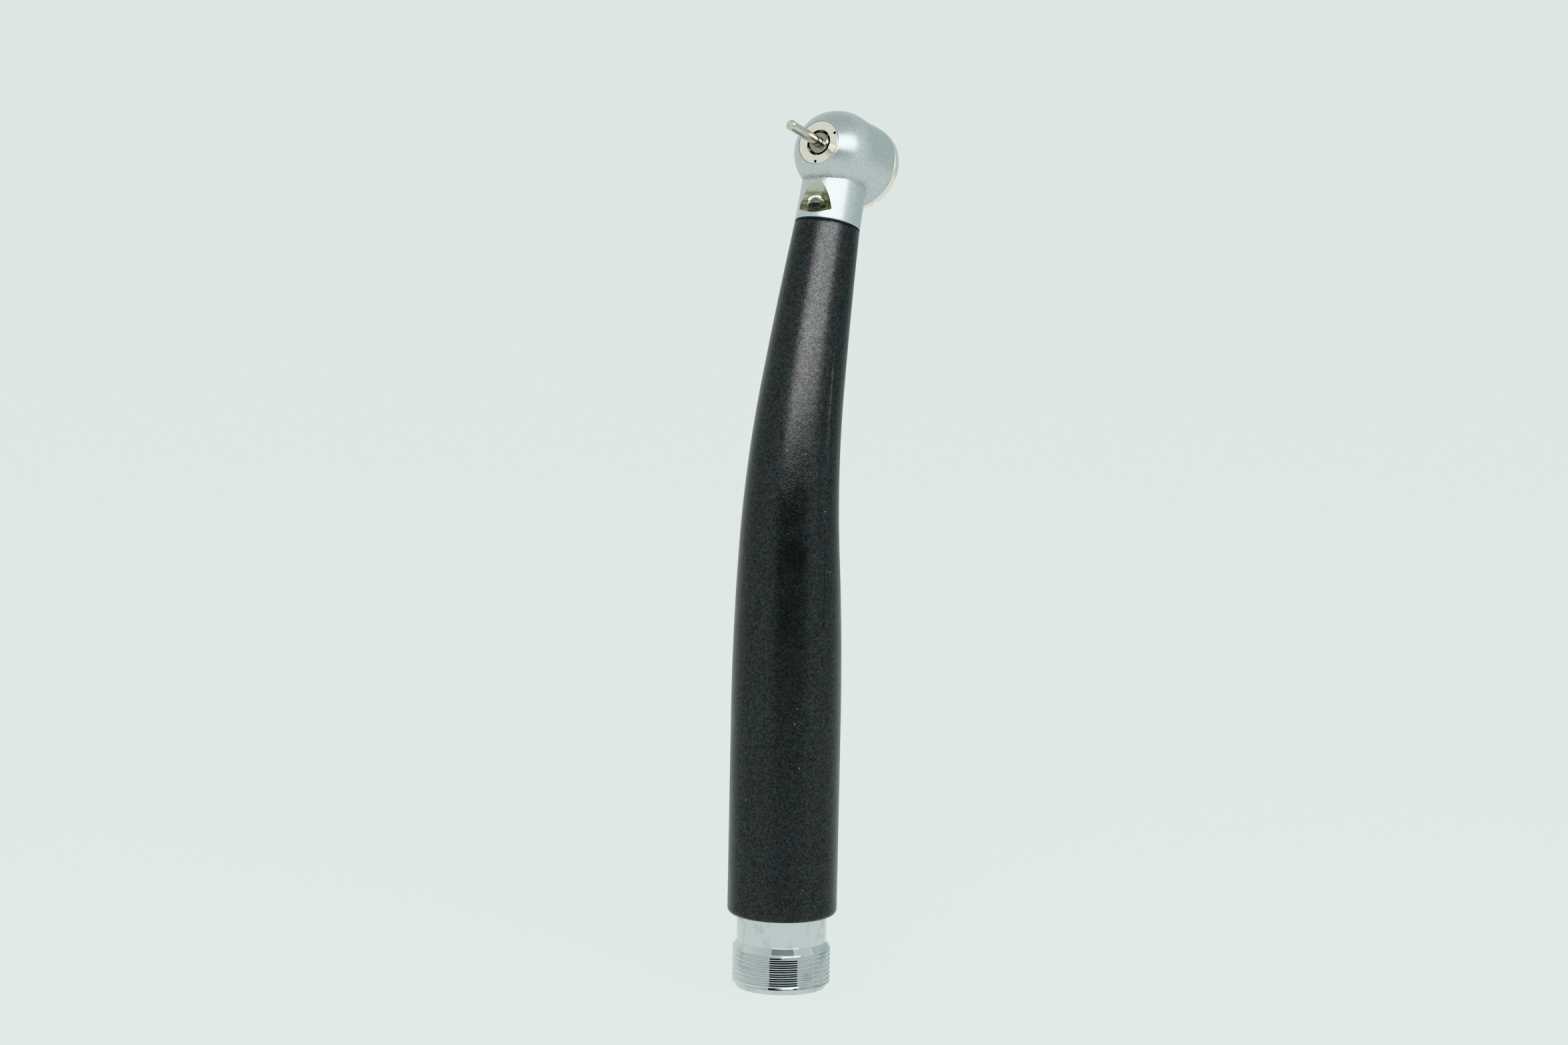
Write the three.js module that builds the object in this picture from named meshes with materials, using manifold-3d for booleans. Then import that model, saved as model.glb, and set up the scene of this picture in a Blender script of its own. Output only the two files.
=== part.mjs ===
// High speed dental handpiece: an air turbine head on an angled neck, a tapered grip and a threaded
// hose connector, with the bur chuck, bearings, spray lines and light generator inside.
//
// Millimetres, +Z up. The origin is the centre of the hose gasket's face, on the connector's axis.
// The handle is laid out by station, the distance along its own axis from the rim that it stands on:
// its pieces are made straight and then bent along that axis. The head's pieces are made along the
// bur's axis, by their distance behind the front ring's face, and stand in the head's own group.
import * as THREE from "three";
import { mergeVertices } from "three/addons/utils/BufferGeometryUtils.js";
import Module from "manifold-3d";

const wasm = await Module();
wasm.setup();

const DEG = Math.PI / 180;

// ---------------------------------------------------------------- driving dimensions

// Fits
const FIT_GAP = 0.05; // radial gap between pieces that fit into each other
const FACE_GAP = 0.05; // gap between faces that meet
const SEAT_GAP = 0.3; // gap where a piece ends against one that stands at an angle to it

// The handle's axis: straight, then a main bend, then a gentle one up to the neck
const STRAIGHT_LENGTH = 66.5;
const MAIN_BEND_RADIUS = 118;
const MAIN_BEND = 12.7 * DEG;
const UPPER_BEND_LENGTH = 25.6;
const UPPER_BEND = 2.8 * DEG;

// Grip sleeve
const GRIP_TAPER = 0.0528; // loss of radius per millimetre towards the neck
const GRIP_BLEND = 12; // half the length over which the cylinder turns into the taper
const GRIP_WALL = 0.8;
const GRIP_CORNER = 0.9; // rounding of the rear edge
const SLEEVE_START = 11.4;
const REAR_WALL = 1.455; // wall of the sleeve around the connector's collar
const FRONT_WALL = 0.7; // wall of the sleeve around the neck's tail
const SOCKET_LENGTH = 14; // front bore of the sleeve that holds the neck's tail
const SOCKET_SLOPE = 4; // length over which the hollow narrows to the socket
const FLUTE_COUNT = 5;
const FLUTE_PITCH = 54 * DEG;
const FLUTE_START = 51.5;
const FLUTE_LENGTH = 49.5;
const FLUTE_WIDTH = 2;
const FLUTE_DEPTH = 0.3;

// Neck
const NECK_RADIUS = 5.08; // where the silver neck leaves the sleeve
const NECK_TOP_RADIUS = 4.97; // where it runs into the head
const TAIL_LENGTH = 12;
const TAIL_WALL = 0.8;
const SEAL_THICKNESS = 0.2;
const HEAD_RISE = 11.4; // from the start of the neck to the bur's axis

// Head, by distance behind the front ring's face
const HEAD_FRONT = 6.4; // the neck's axis crosses the bur's axis here
const HEAD_RADIUS = 6.66; // radius of the head at its middle
const HEAD_NOSE_RADIUS = 3.65; // rim around the front ring
const SHELL_LENGTH = 12; // front face to the cap's flange
const CAP_FLANGE = 1.7;
const CAP_THREAD_RADIUS = 5.4;
const CHAMBER_RADIUS = 5;
const CHAMBER_START = 4.2;
const CHAMBER_LENGTH = 4.4;
const RING_RADIUS = 3.42;
const RING_BORE = 2.01;
const RING_THICKNESS = 0.9;
const SPRAY_HOLES = 3;
const SPRAY_RADIUS = 0.2;
const SPRAY_CIRCLE = 3.03;
const CHANNEL_WIDTH = 0.44; // channel behind the ring that feeds the spray holes
const CHANNEL_DEPTH = 0.35;

// Bearings (6.35 x 3.175 x 2.38, seven 1 mm balls) and turbine
const BEARING_OUTER = 3.175;
const BEARING_BORE = 1.5875;
const BEARING_WIDTH = 2.38;
const BALLS = 7;
const BALL_RADIUS = 0.5;
const POCKET_RADIUS = BALL_RADIUS + 0.09;
const CAGE_WALL = 0.4;
const CAGE_WIDTH = 1.6;
const FRONT_BEARING_START = 1.5;
const IMPELLER_RADIUS = 4.6;
const IMPELLER_HUB = 2.5;
const IMPELLER_BLADES = 12;
const CHAMBER_CLEARANCE = 0.4; // each side of the impeller
const NOSE_RADIUS = 1.7;
const NOSE_PROUD = 0.15;
const ORING_SECTION = 0.28;

// Bur blank and chuck
const BUR_RADIUS = 0.8;
const BUR_PROUD = 8.6;
const BUR_DEPTH = 10.3;
const CHUCK_WALL = 0.38;
const CHUCK_SLOTS = 3;
const CHUCK_SLOT_WIDTH = 0.18;
const CHUCK_SLOT_LENGTH = 5.5;

// Push button
const BUTTON_TRAVEL = 0.65;
const BUTTON_RADIUS = 4.4;
const BUTTON_FLANGE = 0.5;
const BUTTON_PROUD = 0.25;
const BUTTON_DOME = 0.35;
const PLUNGER_RADIUS = 0.9;
const PLUNGER_GAP = 0.4; // around the plunger, in the cap's web
const SPRING_WIRE = 0.12;
const SPRING_RADIUS = 3;
const SPRING_TURNS = 2;
const NOTCH_ANGLE = 147.5 * DEG;
const NOTCH_COUNT = 2;
const NOTCH_WIDTH = 1.05;
const NOTCH_DEPTH = 0.9;

// Light
const LED_RADIUS = 1.4;
const LED_HEIGHT = 1.5; // part of the lens that sits in the neck
const LED_PROUD = 0.65; // straight part of the lens above the window's floor
const LED_TILT = 37.8 * DEG; // the lens points outwards from the neck's axis, at the bur's tip
const WINDOW_RADIUS = 3.15;
const WINDOW_RISE = 0.72; // the window's lower edge above the start of the neck
const WINDOW_LENGTH = 5.2; // short enough to leave the head whole

// Connector
const THREAD_STEP = 0.625; // the thread's crest stands this far outside the collar
const THREAD_PITCH = 0.7;
const THREAD_DEPTH = 0.42;
const THREAD_TURNS = 7;
const LIP_HEIGHT = 0.9;
const CONE_LENGTH = 1;
const CONNECTOR_LENGTH = 24;
const CUP_RADIUS = 5.25; // the coupling's nose fits this cup, and the grip is sized around it
const CUP_WALL = 1.725;
const CUP_DEPTH = 4.5; // rim to the gasket's face
const GASKET_THICKNESS = 1.2;
const SPIGOT_INSET = 1; // the spigots end this far inside the rim
const ORING_STATION = 16.7;

// Hose lines: place across the connector, place across the neck, and outer radius
const TUBE_WALL = 0.2;
const DRIVE = { at: [0, 2.6], inNeck: [0.5, 1.9], radius: 1.3 };
const EXHAUST = { at: [0, -2.4], inNeck: [1.2, -1.6], radius: 1.6 };
const WATER = { at: [-3.3, 0], inNeck: [-0.8, -2.7], radius: 0.45 };
const CHIP_AIR = { at: [3.3, 0], inNeck: [2.6, 0.2], radius: 0.45 };
const SMALL_SPIGOT_RADIUS = 0.75;
const EXHAUST_PORT_RADIUS = 1.1;
const LEAD_RADIUS = 0.22;
const LEAD_SPACING = 1.4;

// Generator
const GENERATOR_START = 31;
const GENERATOR_LENGTH = 20;
const GENERATOR_WALL = 0.5;
const GENERATOR_SHAFT = 1;
const BUSH_THICKNESS = 1.2;
const MAGNET_RADIUS = 3;
const MAGNET_LENGTH = 9;
const MAGNET_START = 36.5;
const COIL_THICKNESS = 1;
const VANE_START = 32.8;
const VANE_WIDTH = 2.4;
const OUTLET_LENGTH = 4;
const OUTLET_FLOOR = 0.8;

// ---------------------------------------------------------------- worked-out dimensions

const COLLAR_RADIUS = CUP_RADIUS + CUP_WALL;
const THREAD_RADIUS = COLLAR_RADIUS + THREAD_STEP;
const GRIP_RADIUS = COLLAR_RADIUS + FIT_GAP + REAR_WALL;
const CUP_FLOOR = CUP_DEPTH + GASKET_THICKNESS + FACE_GAP;

const LEAN = MAIN_BEND + UPPER_BEND;
const MAIN_BEND_LENGTH = MAIN_BEND * MAIN_BEND_RADIUS;
const UPPER_BEND_RADIUS = UPPER_BEND_LENGTH / UPPER_BEND;
const SLEEVE_END = STRAIGHT_LENGTH + MAIN_BEND_LENGTH + UPPER_BEND_LENGTH;
const NECK_START = SLEEVE_END + SEAL_THICKNESS + 2 * FACE_GAP;
const HEAD_STATION = NECK_START + HEAD_RISE;
const TAPER_START = SLEEVE_END - (GRIP_RADIUS - NECK_RADIUS) / GRIP_TAPER;
const TAIL_START = SLEEVE_END - TAIL_LENGTH;
const TAIL_RADIUS = NECK_RADIUS - FRONT_WALL - FIT_GAP;
const TAIL_BORE = TAIL_RADIUS - TAIL_WALL;

const LINE_RUN_GAP = 0.1; // around a thin line that runs between the generator and the sleeve
const GENERATOR_END = GENERATOR_START + GENERATOR_LENGTH;
const OUTLET_END = GENERATOR_END + FACE_GAP + OUTLET_LENGTH;
const LINE_RUN = gripRadius(OUTLET_END) - GRIP_WALL - LINE_RUN_GAP * 2 - WATER.radius;
const GENERATOR_RADIUS = LINE_RUN - WATER.radius - LINE_RUN_GAP;
const GENERATOR_BORE = GENERATOR_RADIUS - GENERATOR_WALL;

const BALL_CIRCLE = (BEARING_OUTER + BEARING_BORE) / 2;
const INNER_RACE_GAP = 0.04; // between the balls and the inner race
const OUTER_RACE_GAP = 0.06875; // wider, because a faceted bore lies inside its own circle
const BEARING_SEAT = BEARING_OUTER + 0.15;
const ORING_GROOVE = BEARING_OUTER + 2 * ORING_SECTION + 3 * FIT_GAP;
const CAP_RADIUS = HEAD_RADIUS + 0.17;
const REAR_BEARING_START = CHAMBER_START + CHAMBER_LENGTH + 0.4;
const CAP_START = CHAMBER_START + CHAMBER_LENGTH + 0.3;
const CAP_FLOOR = SHELL_LENGTH;
const CAP_BACK = SHELL_LENGTH + CAP_FLANGE;
const CAP_WEB = 0.4;
const BUTTON_BOTTOM = CAP_FLOOR + BUTTON_TRAVEL + FACE_GAP;
const BUTTON_LIP = 0.35; // thickness of the button's flange
const LIP_START = BUTTON_BOTTOM + BUTTON_LIP + FACE_GAP;
const SPINDLE_BORE = BUR_RADIUS + FIT_GAP + CHUCK_WALL + FIT_GAP;
const SPINDLE_RADIUS = BEARING_BORE - 0.02;
const SPINDLE_END = REAR_BEARING_START + BEARING_WIDTH - 0.5;
const CHUCK_START = 1;
const CHUCK_END = SPINDLE_END - 0.3;

// ---------------------------------------------------------------- geometry helpers

// A lathe about +Z. Points are [radius, z]; a profile off the axis closes on itself.
function turned(profile, sides) {
  const closed = profile[0][0] > 0 ? [...profile, profile[0]] : profile;
  let area = 0;
  for (let i = 0; i < closed.length - 1; i++) {
    area += closed[i][0] * closed[i + 1][1] - closed[i + 1][0] * closed[i][1];
  }
  const ordered = area > 0 ? closed : [...closed].reverse();
  const points = ordered.map(([r, z]) => new THREE.Vector2(r, z));
  return new THREE.LatheGeometry(points, sides).rotateX(Math.PI / 2);
}

// Even steps between two stations.
function stations(from, to, steps) {
  return Array.from({ length: steps + 1 }, (_, i) => from + ((to - from) * i) / steps);
}

// A tube about +Z with a ring of points at each station, or a solid bar where its bore is 0.
function tubeThrough(outer, bore, rings, sides) {
  const outside = rings.map((z) => [outer, z]);
  const first = rings[0];
  const last = rings[rings.length - 1];
  if (bore === 0) return turned([[0, first], ...outside, [0, last]], sides);
  return turned([...outside, ...rings.map((z) => [bore, z]).reverse()], sides);
}

function tube(outer, bore, start, end, sides, steps = 1) {
  return tubeThrough(outer, bore, stations(start, end, steps), sides);
}

function bar(radius, start, end, sides, steps = 1) {
  return tubeThrough(radius, 0, stations(start, end, steps), sides);
}

// A round bar between two points.
function rod(from, to, radius, sides) {
  const a = new THREE.Vector3(...from);
  const along = new THREE.Vector3(...to).sub(a);
  const turn = new THREE.Quaternion().setFromUnitVectors(
    new THREE.Vector3(0, 0, 1),
    along.clone().normalize(),
  );
  return bar(radius, 0, along.length(), sides).applyQuaternion(turn).translate(a.x, a.y, a.z);
}

// A straight tube or bar, moved sideways so that it passes each place: [station, x, y] in order.
function routed(geometry, places) {
  const position = geometry.attributes.position;
  for (let i = 0; i < position.count; i++) {
    const station = position.getZ(i);
    const next = places.findIndex((place) => place[0] > station);
    const to = next < 0 ? places.length - 1 : Math.max(next, 1);
    const [fromZ, fromX, fromY] = places[to - 1];
    const [toZ, toX, toY] = places[to];
    const share = THREE.MathUtils.smoothstep(station, fromZ, toZ);
    position.setX(i, position.getX(i) + fromX + share * (toX - fromX));
    position.setY(i, position.getY(i) + fromY + share * (toY - fromY));
  }
  return geometry;
}

// A wheel of straight blades about +Z, with a round bore.
function bladedWheel(hub, tip, bore, blades, start, width) {
  const pitch = (2 * Math.PI) / blades;
  const outline = [];
  for (let i = 0; i < blades; i++) {
    const at = i * pitch;
    outline.push([hub, at], [tip, at + 0.25 * pitch], [tip, at + 0.5 * pitch], [hub, at + 0.55 * pitch]);
  }
  const points = outline.map(([r, a]) => new THREE.Vector2(r * Math.cos(a), r * Math.sin(a)));
  const shape = new THREE.Shape(points);
  shape.holes.push(new THREE.Path().absarc(0, 0, bore, 0, 2 * Math.PI, true));
  const wheel = new THREE.ExtrudeGeometry(shape, {
    depth: width,
    curveSegments: 10,
    bevelEnabled: false,
  });
  return wheel.translate(0, 0, start);
}

// A closed geometry as a solid that can be joined and cut.
function solid(geometry) {
  const bare = geometry.clone();
  bare.deleteAttribute("normal");
  bare.deleteAttribute("uv");
  const merged = mergeVertices(bare, 1e-4);
  return new wasm.Manifold(
    new wasm.Mesh({
      numProp: 3,
      vertProperties: merged.attributes.position.array,
      triVerts: new Uint32Array(merged.index.array),
    }),
  );
}

function geometryOf(body) {
  const made = body.getMesh();
  const geometry = new THREE.BufferGeometry();
  geometry.setAttribute("position", new THREE.BufferAttribute(new Float32Array(made.vertProperties), 3));
  geometry.setIndex(new THREE.BufferAttribute(new Uint32Array(made.triVerts), 1));
  geometry.computeVertexNormals();
  return geometry;
}

function cut(base, cutters) {
  const left = cutters.reduce((body, cutter) => body.subtract(solid(cutter)), solid(base));
  return geometryOf(left);
}

// The handle's axis at a station: its place in the bend's plane, and its lean from upright.
function axisAt(station) {
  if (station <= STRAIGHT_LENGTH) return { x: 0, z: station, lean: 0 };
  const inMain = Math.min(station - STRAIGHT_LENGTH, MAIN_BEND_LENGTH);
  const mainLean = inMain / MAIN_BEND_RADIUS;
  const inUpper = Math.min(Math.max(station - STRAIGHT_LENGTH - MAIN_BEND_LENGTH, 0), UPPER_BEND_LENGTH);
  const lean = mainLean + inUpper / UPPER_BEND_RADIUS;
  const beyond = Math.max(station - SLEEVE_END, 0);
  return {
    x:
      MAIN_BEND_RADIUS * (1 - Math.cos(mainLean)) +
      UPPER_BEND_RADIUS * (Math.cos(mainLean) - Math.cos(lean)) +
      beyond * Math.sin(lean),
    z:
      STRAIGHT_LENGTH +
      MAIN_BEND_RADIUS * Math.sin(mainLean) +
      UPPER_BEND_RADIUS * (Math.sin(lean) - Math.sin(mainLean)) +
      beyond * Math.cos(lean),
    lean,
  };
}

// Bends a geometry that was made straight along +Z, so that it follows the handle's axis.
function bent(geometry) {
  const position = geometry.attributes.position;
  for (let i = 0; i < position.count; i++) {
    const across = position.getX(i);
    const axis = axisAt(position.getZ(i));
    position.setX(i, axis.x + across * Math.cos(axis.lean));
    position.setZ(i, axis.z - across * Math.sin(axis.lean));
  }
  geometry.computeVertexNormals();
  return geometry;
}

// The head's frame: +Z backwards along the bur's axis, +X to the head's top.
const headMatrix = new THREE.Matrix4();
{
  const top = new THREE.Vector3(Math.sin(LEAN), 0, Math.cos(LEAN));
  const side = new THREE.Vector3(0, -1, 0);
  const back = new THREE.Vector3(Math.cos(LEAN), 0, -Math.sin(LEAN));
  const crossing = axisAt(HEAD_STATION);
  headMatrix.makeBasis(top, side, back);
  headMatrix.setPosition(crossing.x - HEAD_FRONT * back.x, 0, crossing.z - HEAD_FRONT * back.z);
}

// ---------------------------------------------------------------- materials

function finish(color, roughness, metalness) {
  return new THREE.MeshStandardMaterial({ color, roughness, metalness });
}

const satinChrome = finish(0xc9cfd2, 0.35, 1);
const brightChrome = finish(0xd9dde0, 0.12, 1);
const warmNickel = finish(0xd8cfc0, 0.15, 1);
const toolSteel = finish(0xa9a59d, 0.25, 1);
const steel = finish(0xb8bcc0, 0.3, 1);
const brass = finish(0xc2a052, 0.3, 1);
const copper = finish(0xb56a3c, 0.4, 1);
const magnet = finish(0x55585c, 0.5, 0.6);
const blackAnodised = finish(0x151617, 0.35, 0.5);
const darkSeal = finish(0x1a2333, 0.6, 0);
const rubber = finish(0x1c1c1c, 0.8, 0);
const greyRubber = finish(0x4c4f52, 0.8, 0);
const plasticCage = finish(0x6b4a2a, 0.6, 0);
const ceramic = finish(0xe9e6df, 0.2, 0);
const circuitBoard = finish(0x2d5a35, 0.6, 0);
const redWire = finish(0x9a2a22, 0.6, 0);
const blackWire = finish(0x222222, 0.6, 0);
const clearLens = finish(0xe8e6da, 0.05, 0);

// ---------------------------------------------------------------- groups

const handpiece = new THREE.Group();
const handle = new THREE.Group();
handle.position.z = -CUP_DEPTH;
handpiece.add(handle);
const head = new THREE.Group();
head.applyMatrix4(headMatrix);
handle.add(head);

function add(group, name, geometry, material) {
  const mesh = new THREE.Mesh(geometry, material);
  mesh.name = name;
  group.add(mesh);
}

// ---------------------------------------------------------------- grip sleeve

function gripRadius(station) {
  const intoBlend = station - (TAPER_START - GRIP_BLEND);
  if (intoBlend <= 0) return GRIP_RADIUS;
  if (intoBlend >= 2 * GRIP_BLEND) return NECK_RADIUS + GRIP_TAPER * (SLEEVE_END - station);
  return GRIP_RADIUS - (GRIP_TAPER * intoBlend ** 2) / (4 * GRIP_BLEND);
}

function gripSleeve() {
  const corner = [0, 30, 60, 90].map((angle) => [
    GRIP_RADIUS - GRIP_CORNER * (1 - Math.sin(angle * DEG)),
    SLEEVE_START + GRIP_CORNER * (1 - Math.cos(angle * DEG)),
  ]);
  const outside = stations(TAPER_START - GRIP_BLEND, SLEEVE_END, 13).map((s) => [gripRadius(s), s]);
  const socketStart = SLEEVE_END - SOCKET_LENGTH;
  const socket = stations(socketStart, SLEEVE_END, 3).map((s) => [TAIL_RADIUS + FIT_GAP, s]);
  const hollowEnd = socketStart - SOCKET_SLOPE;
  const hollow = stations(CONNECTOR_LENGTH + 1, hollowEnd, 8).map((s) => [gripRadius(s) - GRIP_WALL, s]);
  const rearBore = [
    [COLLAR_RADIUS + FIT_GAP, CONNECTOR_LENGTH + 0.2],
    [COLLAR_RADIUS + FIT_GAP, SLEEVE_START],
  ];
  const profile = [...corner, ...outside, ...socket.reverse(), ...hollow.reverse(), ...rearBore];
  const flutes = Array.from({ length: FLUTE_COUNT }, (_, i) =>
    flute((i - (FLUTE_COUNT - 1) / 2) * FLUTE_PITCH),
  );
  return bent(cut(turned(profile, 32), flutes));
}

// A slender ellipsoid laid along the sleeve's surface.
function flute(angle) {
  const middle = FLUTE_START + FLUTE_LENGTH / 2;
  const fall = gripRadius(FLUTE_START) - gripRadius(FLUTE_START + FLUTE_LENGTH);
  const chord = Math.sqrt(3) / 2; // share of each axis at the height where the surface cuts the ellipsoid
  return new THREE.SphereGeometry(1, 8, 6)
    .rotateX(Math.PI / 2)
    .scale(2 * FLUTE_DEPTH, FLUTE_WIDTH / 2 / chord, (FLUTE_LENGTH / 2 / chord) * 1.1)
    .rotateY(-Math.atan2(fall, FLUTE_LENGTH))
    .translate(gripRadius(middle) + FLUTE_DEPTH, 0, middle)
    .rotateZ(angle);
}

add(handle, "grip_sleeve", gripSleeve(), blackAnodised);
add(
  handle,
  "neck_seal_ring",
  bent(tube(NECK_RADIUS, TAIL_RADIUS + FIT_GAP, SLEEVE_END + FACE_GAP, NECK_START - FACE_GAP, 32)),
  darkSeal,
);

// ---------------------------------------------------------------- head shell with neck and tail

function headOutline() {
  const curve = new THREE.SplineCurve([
    new THREE.Vector2(HEAD_NOSE_RADIUS, 0),
    new THREE.Vector2(HEAD_RADIUS - 1.89, 1.06),
    new THREE.Vector2(HEAD_RADIUS - 0.78, 2.64),
    new THREE.Vector2(HEAD_RADIUS - 0.05, 4.75),
    new THREE.Vector2(HEAD_RADIUS, 6.86),
    new THREE.Vector2(HEAD_RADIUS + 0.01, 8.97),
    new THREE.Vector2(HEAD_RADIUS + 0.15, 11.08),
    new THREE.Vector2(CAP_RADIUS, SHELL_LENGTH),
  ]);
  const points = curve.getPoints(10).map((p) => [p.x, p.y]);
  return [[0, 0], ...points, [0, SHELL_LENGTH]];
}

function headCavity() {
  const grooveStart = FRONT_BEARING_START + BEARING_WIDTH / 2 - 2 * ORING_SECTION;
  const grooveEnd = grooveStart + 4 * ORING_SECTION;
  const seat = RING_RADIUS + FIT_GAP;
  const bore = CAP_THREAD_RADIUS + FIT_GAP;
  return turned(
    [
      [0, -1],
      [seat, -1],
      [seat, RING_THICKNESS + FACE_GAP],
      [BEARING_SEAT, RING_THICKNESS + FACE_GAP],
      [BEARING_SEAT, grooveStart],
      [ORING_GROOVE, grooveStart],
      [ORING_GROOVE, grooveEnd],
      [BEARING_SEAT, grooveEnd],
      [BEARING_SEAT, CHAMBER_START],
      [CHAMBER_RADIUS, CHAMBER_START],
      [CHAMBER_RADIUS, CAP_START - 0.1],
      [bore, CAP_START - 0.1],
      [bore, CAP_BACK],
      [0, CAP_BACK],
    ],
    28,
  );
}

// The window is a flat-bottomed hole that leans outwards from the neck; the lens seats in its floor.
const windowFloor = new THREE.Vector3(-NECK_RADIUS, 0, NECK_START + WINDOW_RISE);
const lensAxis = new THREE.Vector3(-Math.sin(LED_TILT), 0, Math.cos(LED_TILT));
const lensSeat = new THREE.Vector3(Math.cos(LED_TILT), 0, Math.sin(LED_TILT))
  .multiplyScalar(LED_RADIUS + 0.2)
  .add(windowFloor);

function alongLensAxis(from, distance) {
  return from.clone().addScaledVector(lensAxis, distance).toArray();
}

function neckPassages() {
  const top = HEAD_STATION - CHAMBER_RADIUS + 0.8;
  const lineEnd = HEAD_STATION - CHAMBER_RADIUS - 1.3;
  const below = NECK_START - 3;
  const port = (place, radius, end) => bar(radius, below, end, 12, 2).translate(place[0], place[1], 0);
  // From the end of a thin line to the space behind the front ring.
  const crossPort = (place, side) =>
    rod(
      [place[0], place[1], lineEnd - 0.4],
      [RING_THICKNESS - HEAD_FRONT + 0.4, side, HEAD_STATION - RING_RADIUS - 0.05],
      0.3,
      8,
    );
  return [
    bar(TAIL_BORE, TAIL_START - 1, NECK_START - 1, 24, 3),
    port(DRIVE.inNeck, DRIVE.radius + FIT_GAP, top),
    port(EXHAUST.inNeck, EXHAUST_PORT_RADIUS, top),
    port(WATER.inNeck, WATER.radius + FIT_GAP, lineEnd),
    port(CHIP_AIR.inNeck, CHIP_AIR.radius + FIT_GAP, lineEnd),
    crossPort(WATER.inNeck, -1),
    rod(alongLensAxis(windowFloor, 0), alongLensAxis(windowFloor, WINDOW_LENGTH), WINDOW_RADIUS, 24),
    rod(alongLensAxis(lensSeat, -LED_HEIGHT), alongLensAxis(lensSeat, 1), LED_RADIUS + FIT_GAP, 16),
    rod(alongLensAxis(lensSeat, -LED_HEIGHT - 2.6), alongLensAxis(lensSeat, 0), LED_RADIUS / 2, 10),
  ];
}

function headShell() {
  const neckTop = HEAD_STATION - CHAMBER_RADIUS + 0.5;
  const taper = (NECK_RADIUS - NECK_TOP_RADIUS) / (neckTop - NECK_START);
  const tail = stations(TAIL_START, NECK_START, 3).map((s) => [TAIL_RADIUS, s]);
  const neck = stations(NECK_START, neckTop, 1).map((s) => [NECK_RADIUS - taper * (s - NECK_START), s]);
  const neckBody = turned([[0, TAIL_START], ...tail, ...neck, [0, neckTop]], 32);
  const headBody = turned(headOutline(), 32).applyMatrix4(headMatrix);
  const cavity = headCavity().applyMatrix4(headMatrix);
  const whole = solid(bent(neckBody)).add(solid(headBody));
  const opened = neckPassages().reduce((body, cutter) => body.subtract(solid(bent(cutter))), whole);
  return geometryOf(opened.subtract(solid(cavity)));
}

add(handle, "head_shell", headShell(), satinChrome);

// ---------------------------------------------------------------- light

function ledLens() {
  const base = LED_HEIGHT - FACE_GAP;
  const dome = [0, 30, 60].map((angle) => [
    LED_RADIUS * Math.cos(angle * DEG),
    LED_PROUD + LED_RADIUS * Math.sin(angle * DEG),
  ]);
  const turn = new THREE.Quaternion().setFromUnitVectors(new THREE.Vector3(0, 0, 1), lensAxis);
  return turned([[0, -base], [LED_RADIUS, -base], ...dome, [0, LED_PROUD + LED_RADIUS]], 16)
    .applyQuaternion(turn)
    .translate(...lensSeat.toArray());
}

add(handle, "led_lens", bent(ledLens()), clearLens);

const BOARD_SIZE = [0.8, 2.6, 2];
const BOARD_INSET = 0.98; // from the tail's bore to the middle of the board
const BOARD_RISE = 9; // from the tail's end to the middle of the board
const BOARD_AT = [BOARD_INSET - TAIL_BORE, 0, TAIL_START + BOARD_RISE];
add(
  handle,
  "led_board",
  bent(new THREE.BoxGeometry(...BOARD_SIZE).translate(...BOARD_AT)),
  circuitBoard,
);

function lead(side) {
  const y = (side * LEAD_SPACING) / 2;
  const boardFoot = BOARD_AT[2] - BOARD_SIZE[2] / 2 - SEAT_GAP;
  const run = GENERATOR_RADIUS + LINE_RUN_GAP + LEAD_RADIUS;
  const rings = [GENERATOR_START + 4, ...stations(OUTLET_END, boardFoot, 9)];
  return bent(
    routed(tubeThrough(LEAD_RADIUS, 0, rings, 6), [
      [OUTLET_END, -run, y],
      [TAIL_START, BOARD_AT[0], 0.7 * y],
      [boardFoot, BOARD_AT[0], 0.7 * y],
    ]),
  );
}

add(handle, "led_lead_positive", lead(1), redWire);
add(handle, "led_lead_negative", lead(-1), blackWire);

// ---------------------------------------------------------------- air and water lines

const driveTube = tube(
  DRIVE.radius,
  DRIVE.radius - TUBE_WALL,
  OUTLET_END - 0.75 * OUTLET_FLOOR,
  HEAD_STATION - CHAMBER_RADIUS - 1,
  12,
  10,
);
add(handle, "drive_air_tube", bent(driveTube.translate(DRIVE.inNeck[0], DRIVE.inNeck[1], 0)), brass);

// A thin line leaves the connector, passes outside the generator and enters its hole in the neck.
function thinLine(hose, runAngle) {
  const runX = LINE_RUN * Math.cos(runAngle);
  const runY = LINE_RUN * Math.sin(runAngle);
  const start = CONNECTOR_LENGTH + SEAT_GAP;
  const runStart = GENERATOR_START - 0.5;
  const neckLine = TAIL_START - 8;
  const end = HEAD_STATION - CHAMBER_RADIUS - 1.6;
  const rings = [...stations(start, runStart, 4), ...stations(OUTLET_END, end, 12)];
  return bent(
    routed(tubeThrough(hose.radius, hose.radius - TUBE_WALL, rings, 6), [
      [start, ...hose.at],
      [runStart, runX, runY],
      [OUTLET_END, runX, runY],
      [neckLine, ...hose.inNeck],
      [end, ...hose.inNeck],
    ]),
  );
}

add(handle, "water_tube", thinLine(WATER, 210 * DEG), steel);
add(handle, "chip_air_tube", thinLine(CHIP_AIR, 30 * DEG), steel);
const checkValve = tube(WATER.radius * 2, WATER.radius + 0.08, TAIL_START - 5, TAIL_START - 1.5, 12, 1);
add(handle, "water_check_valve", bent(checkValve.translate(...WATER.inNeck, 0)), brass);

// ---------------------------------------------------------------- connector

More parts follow.
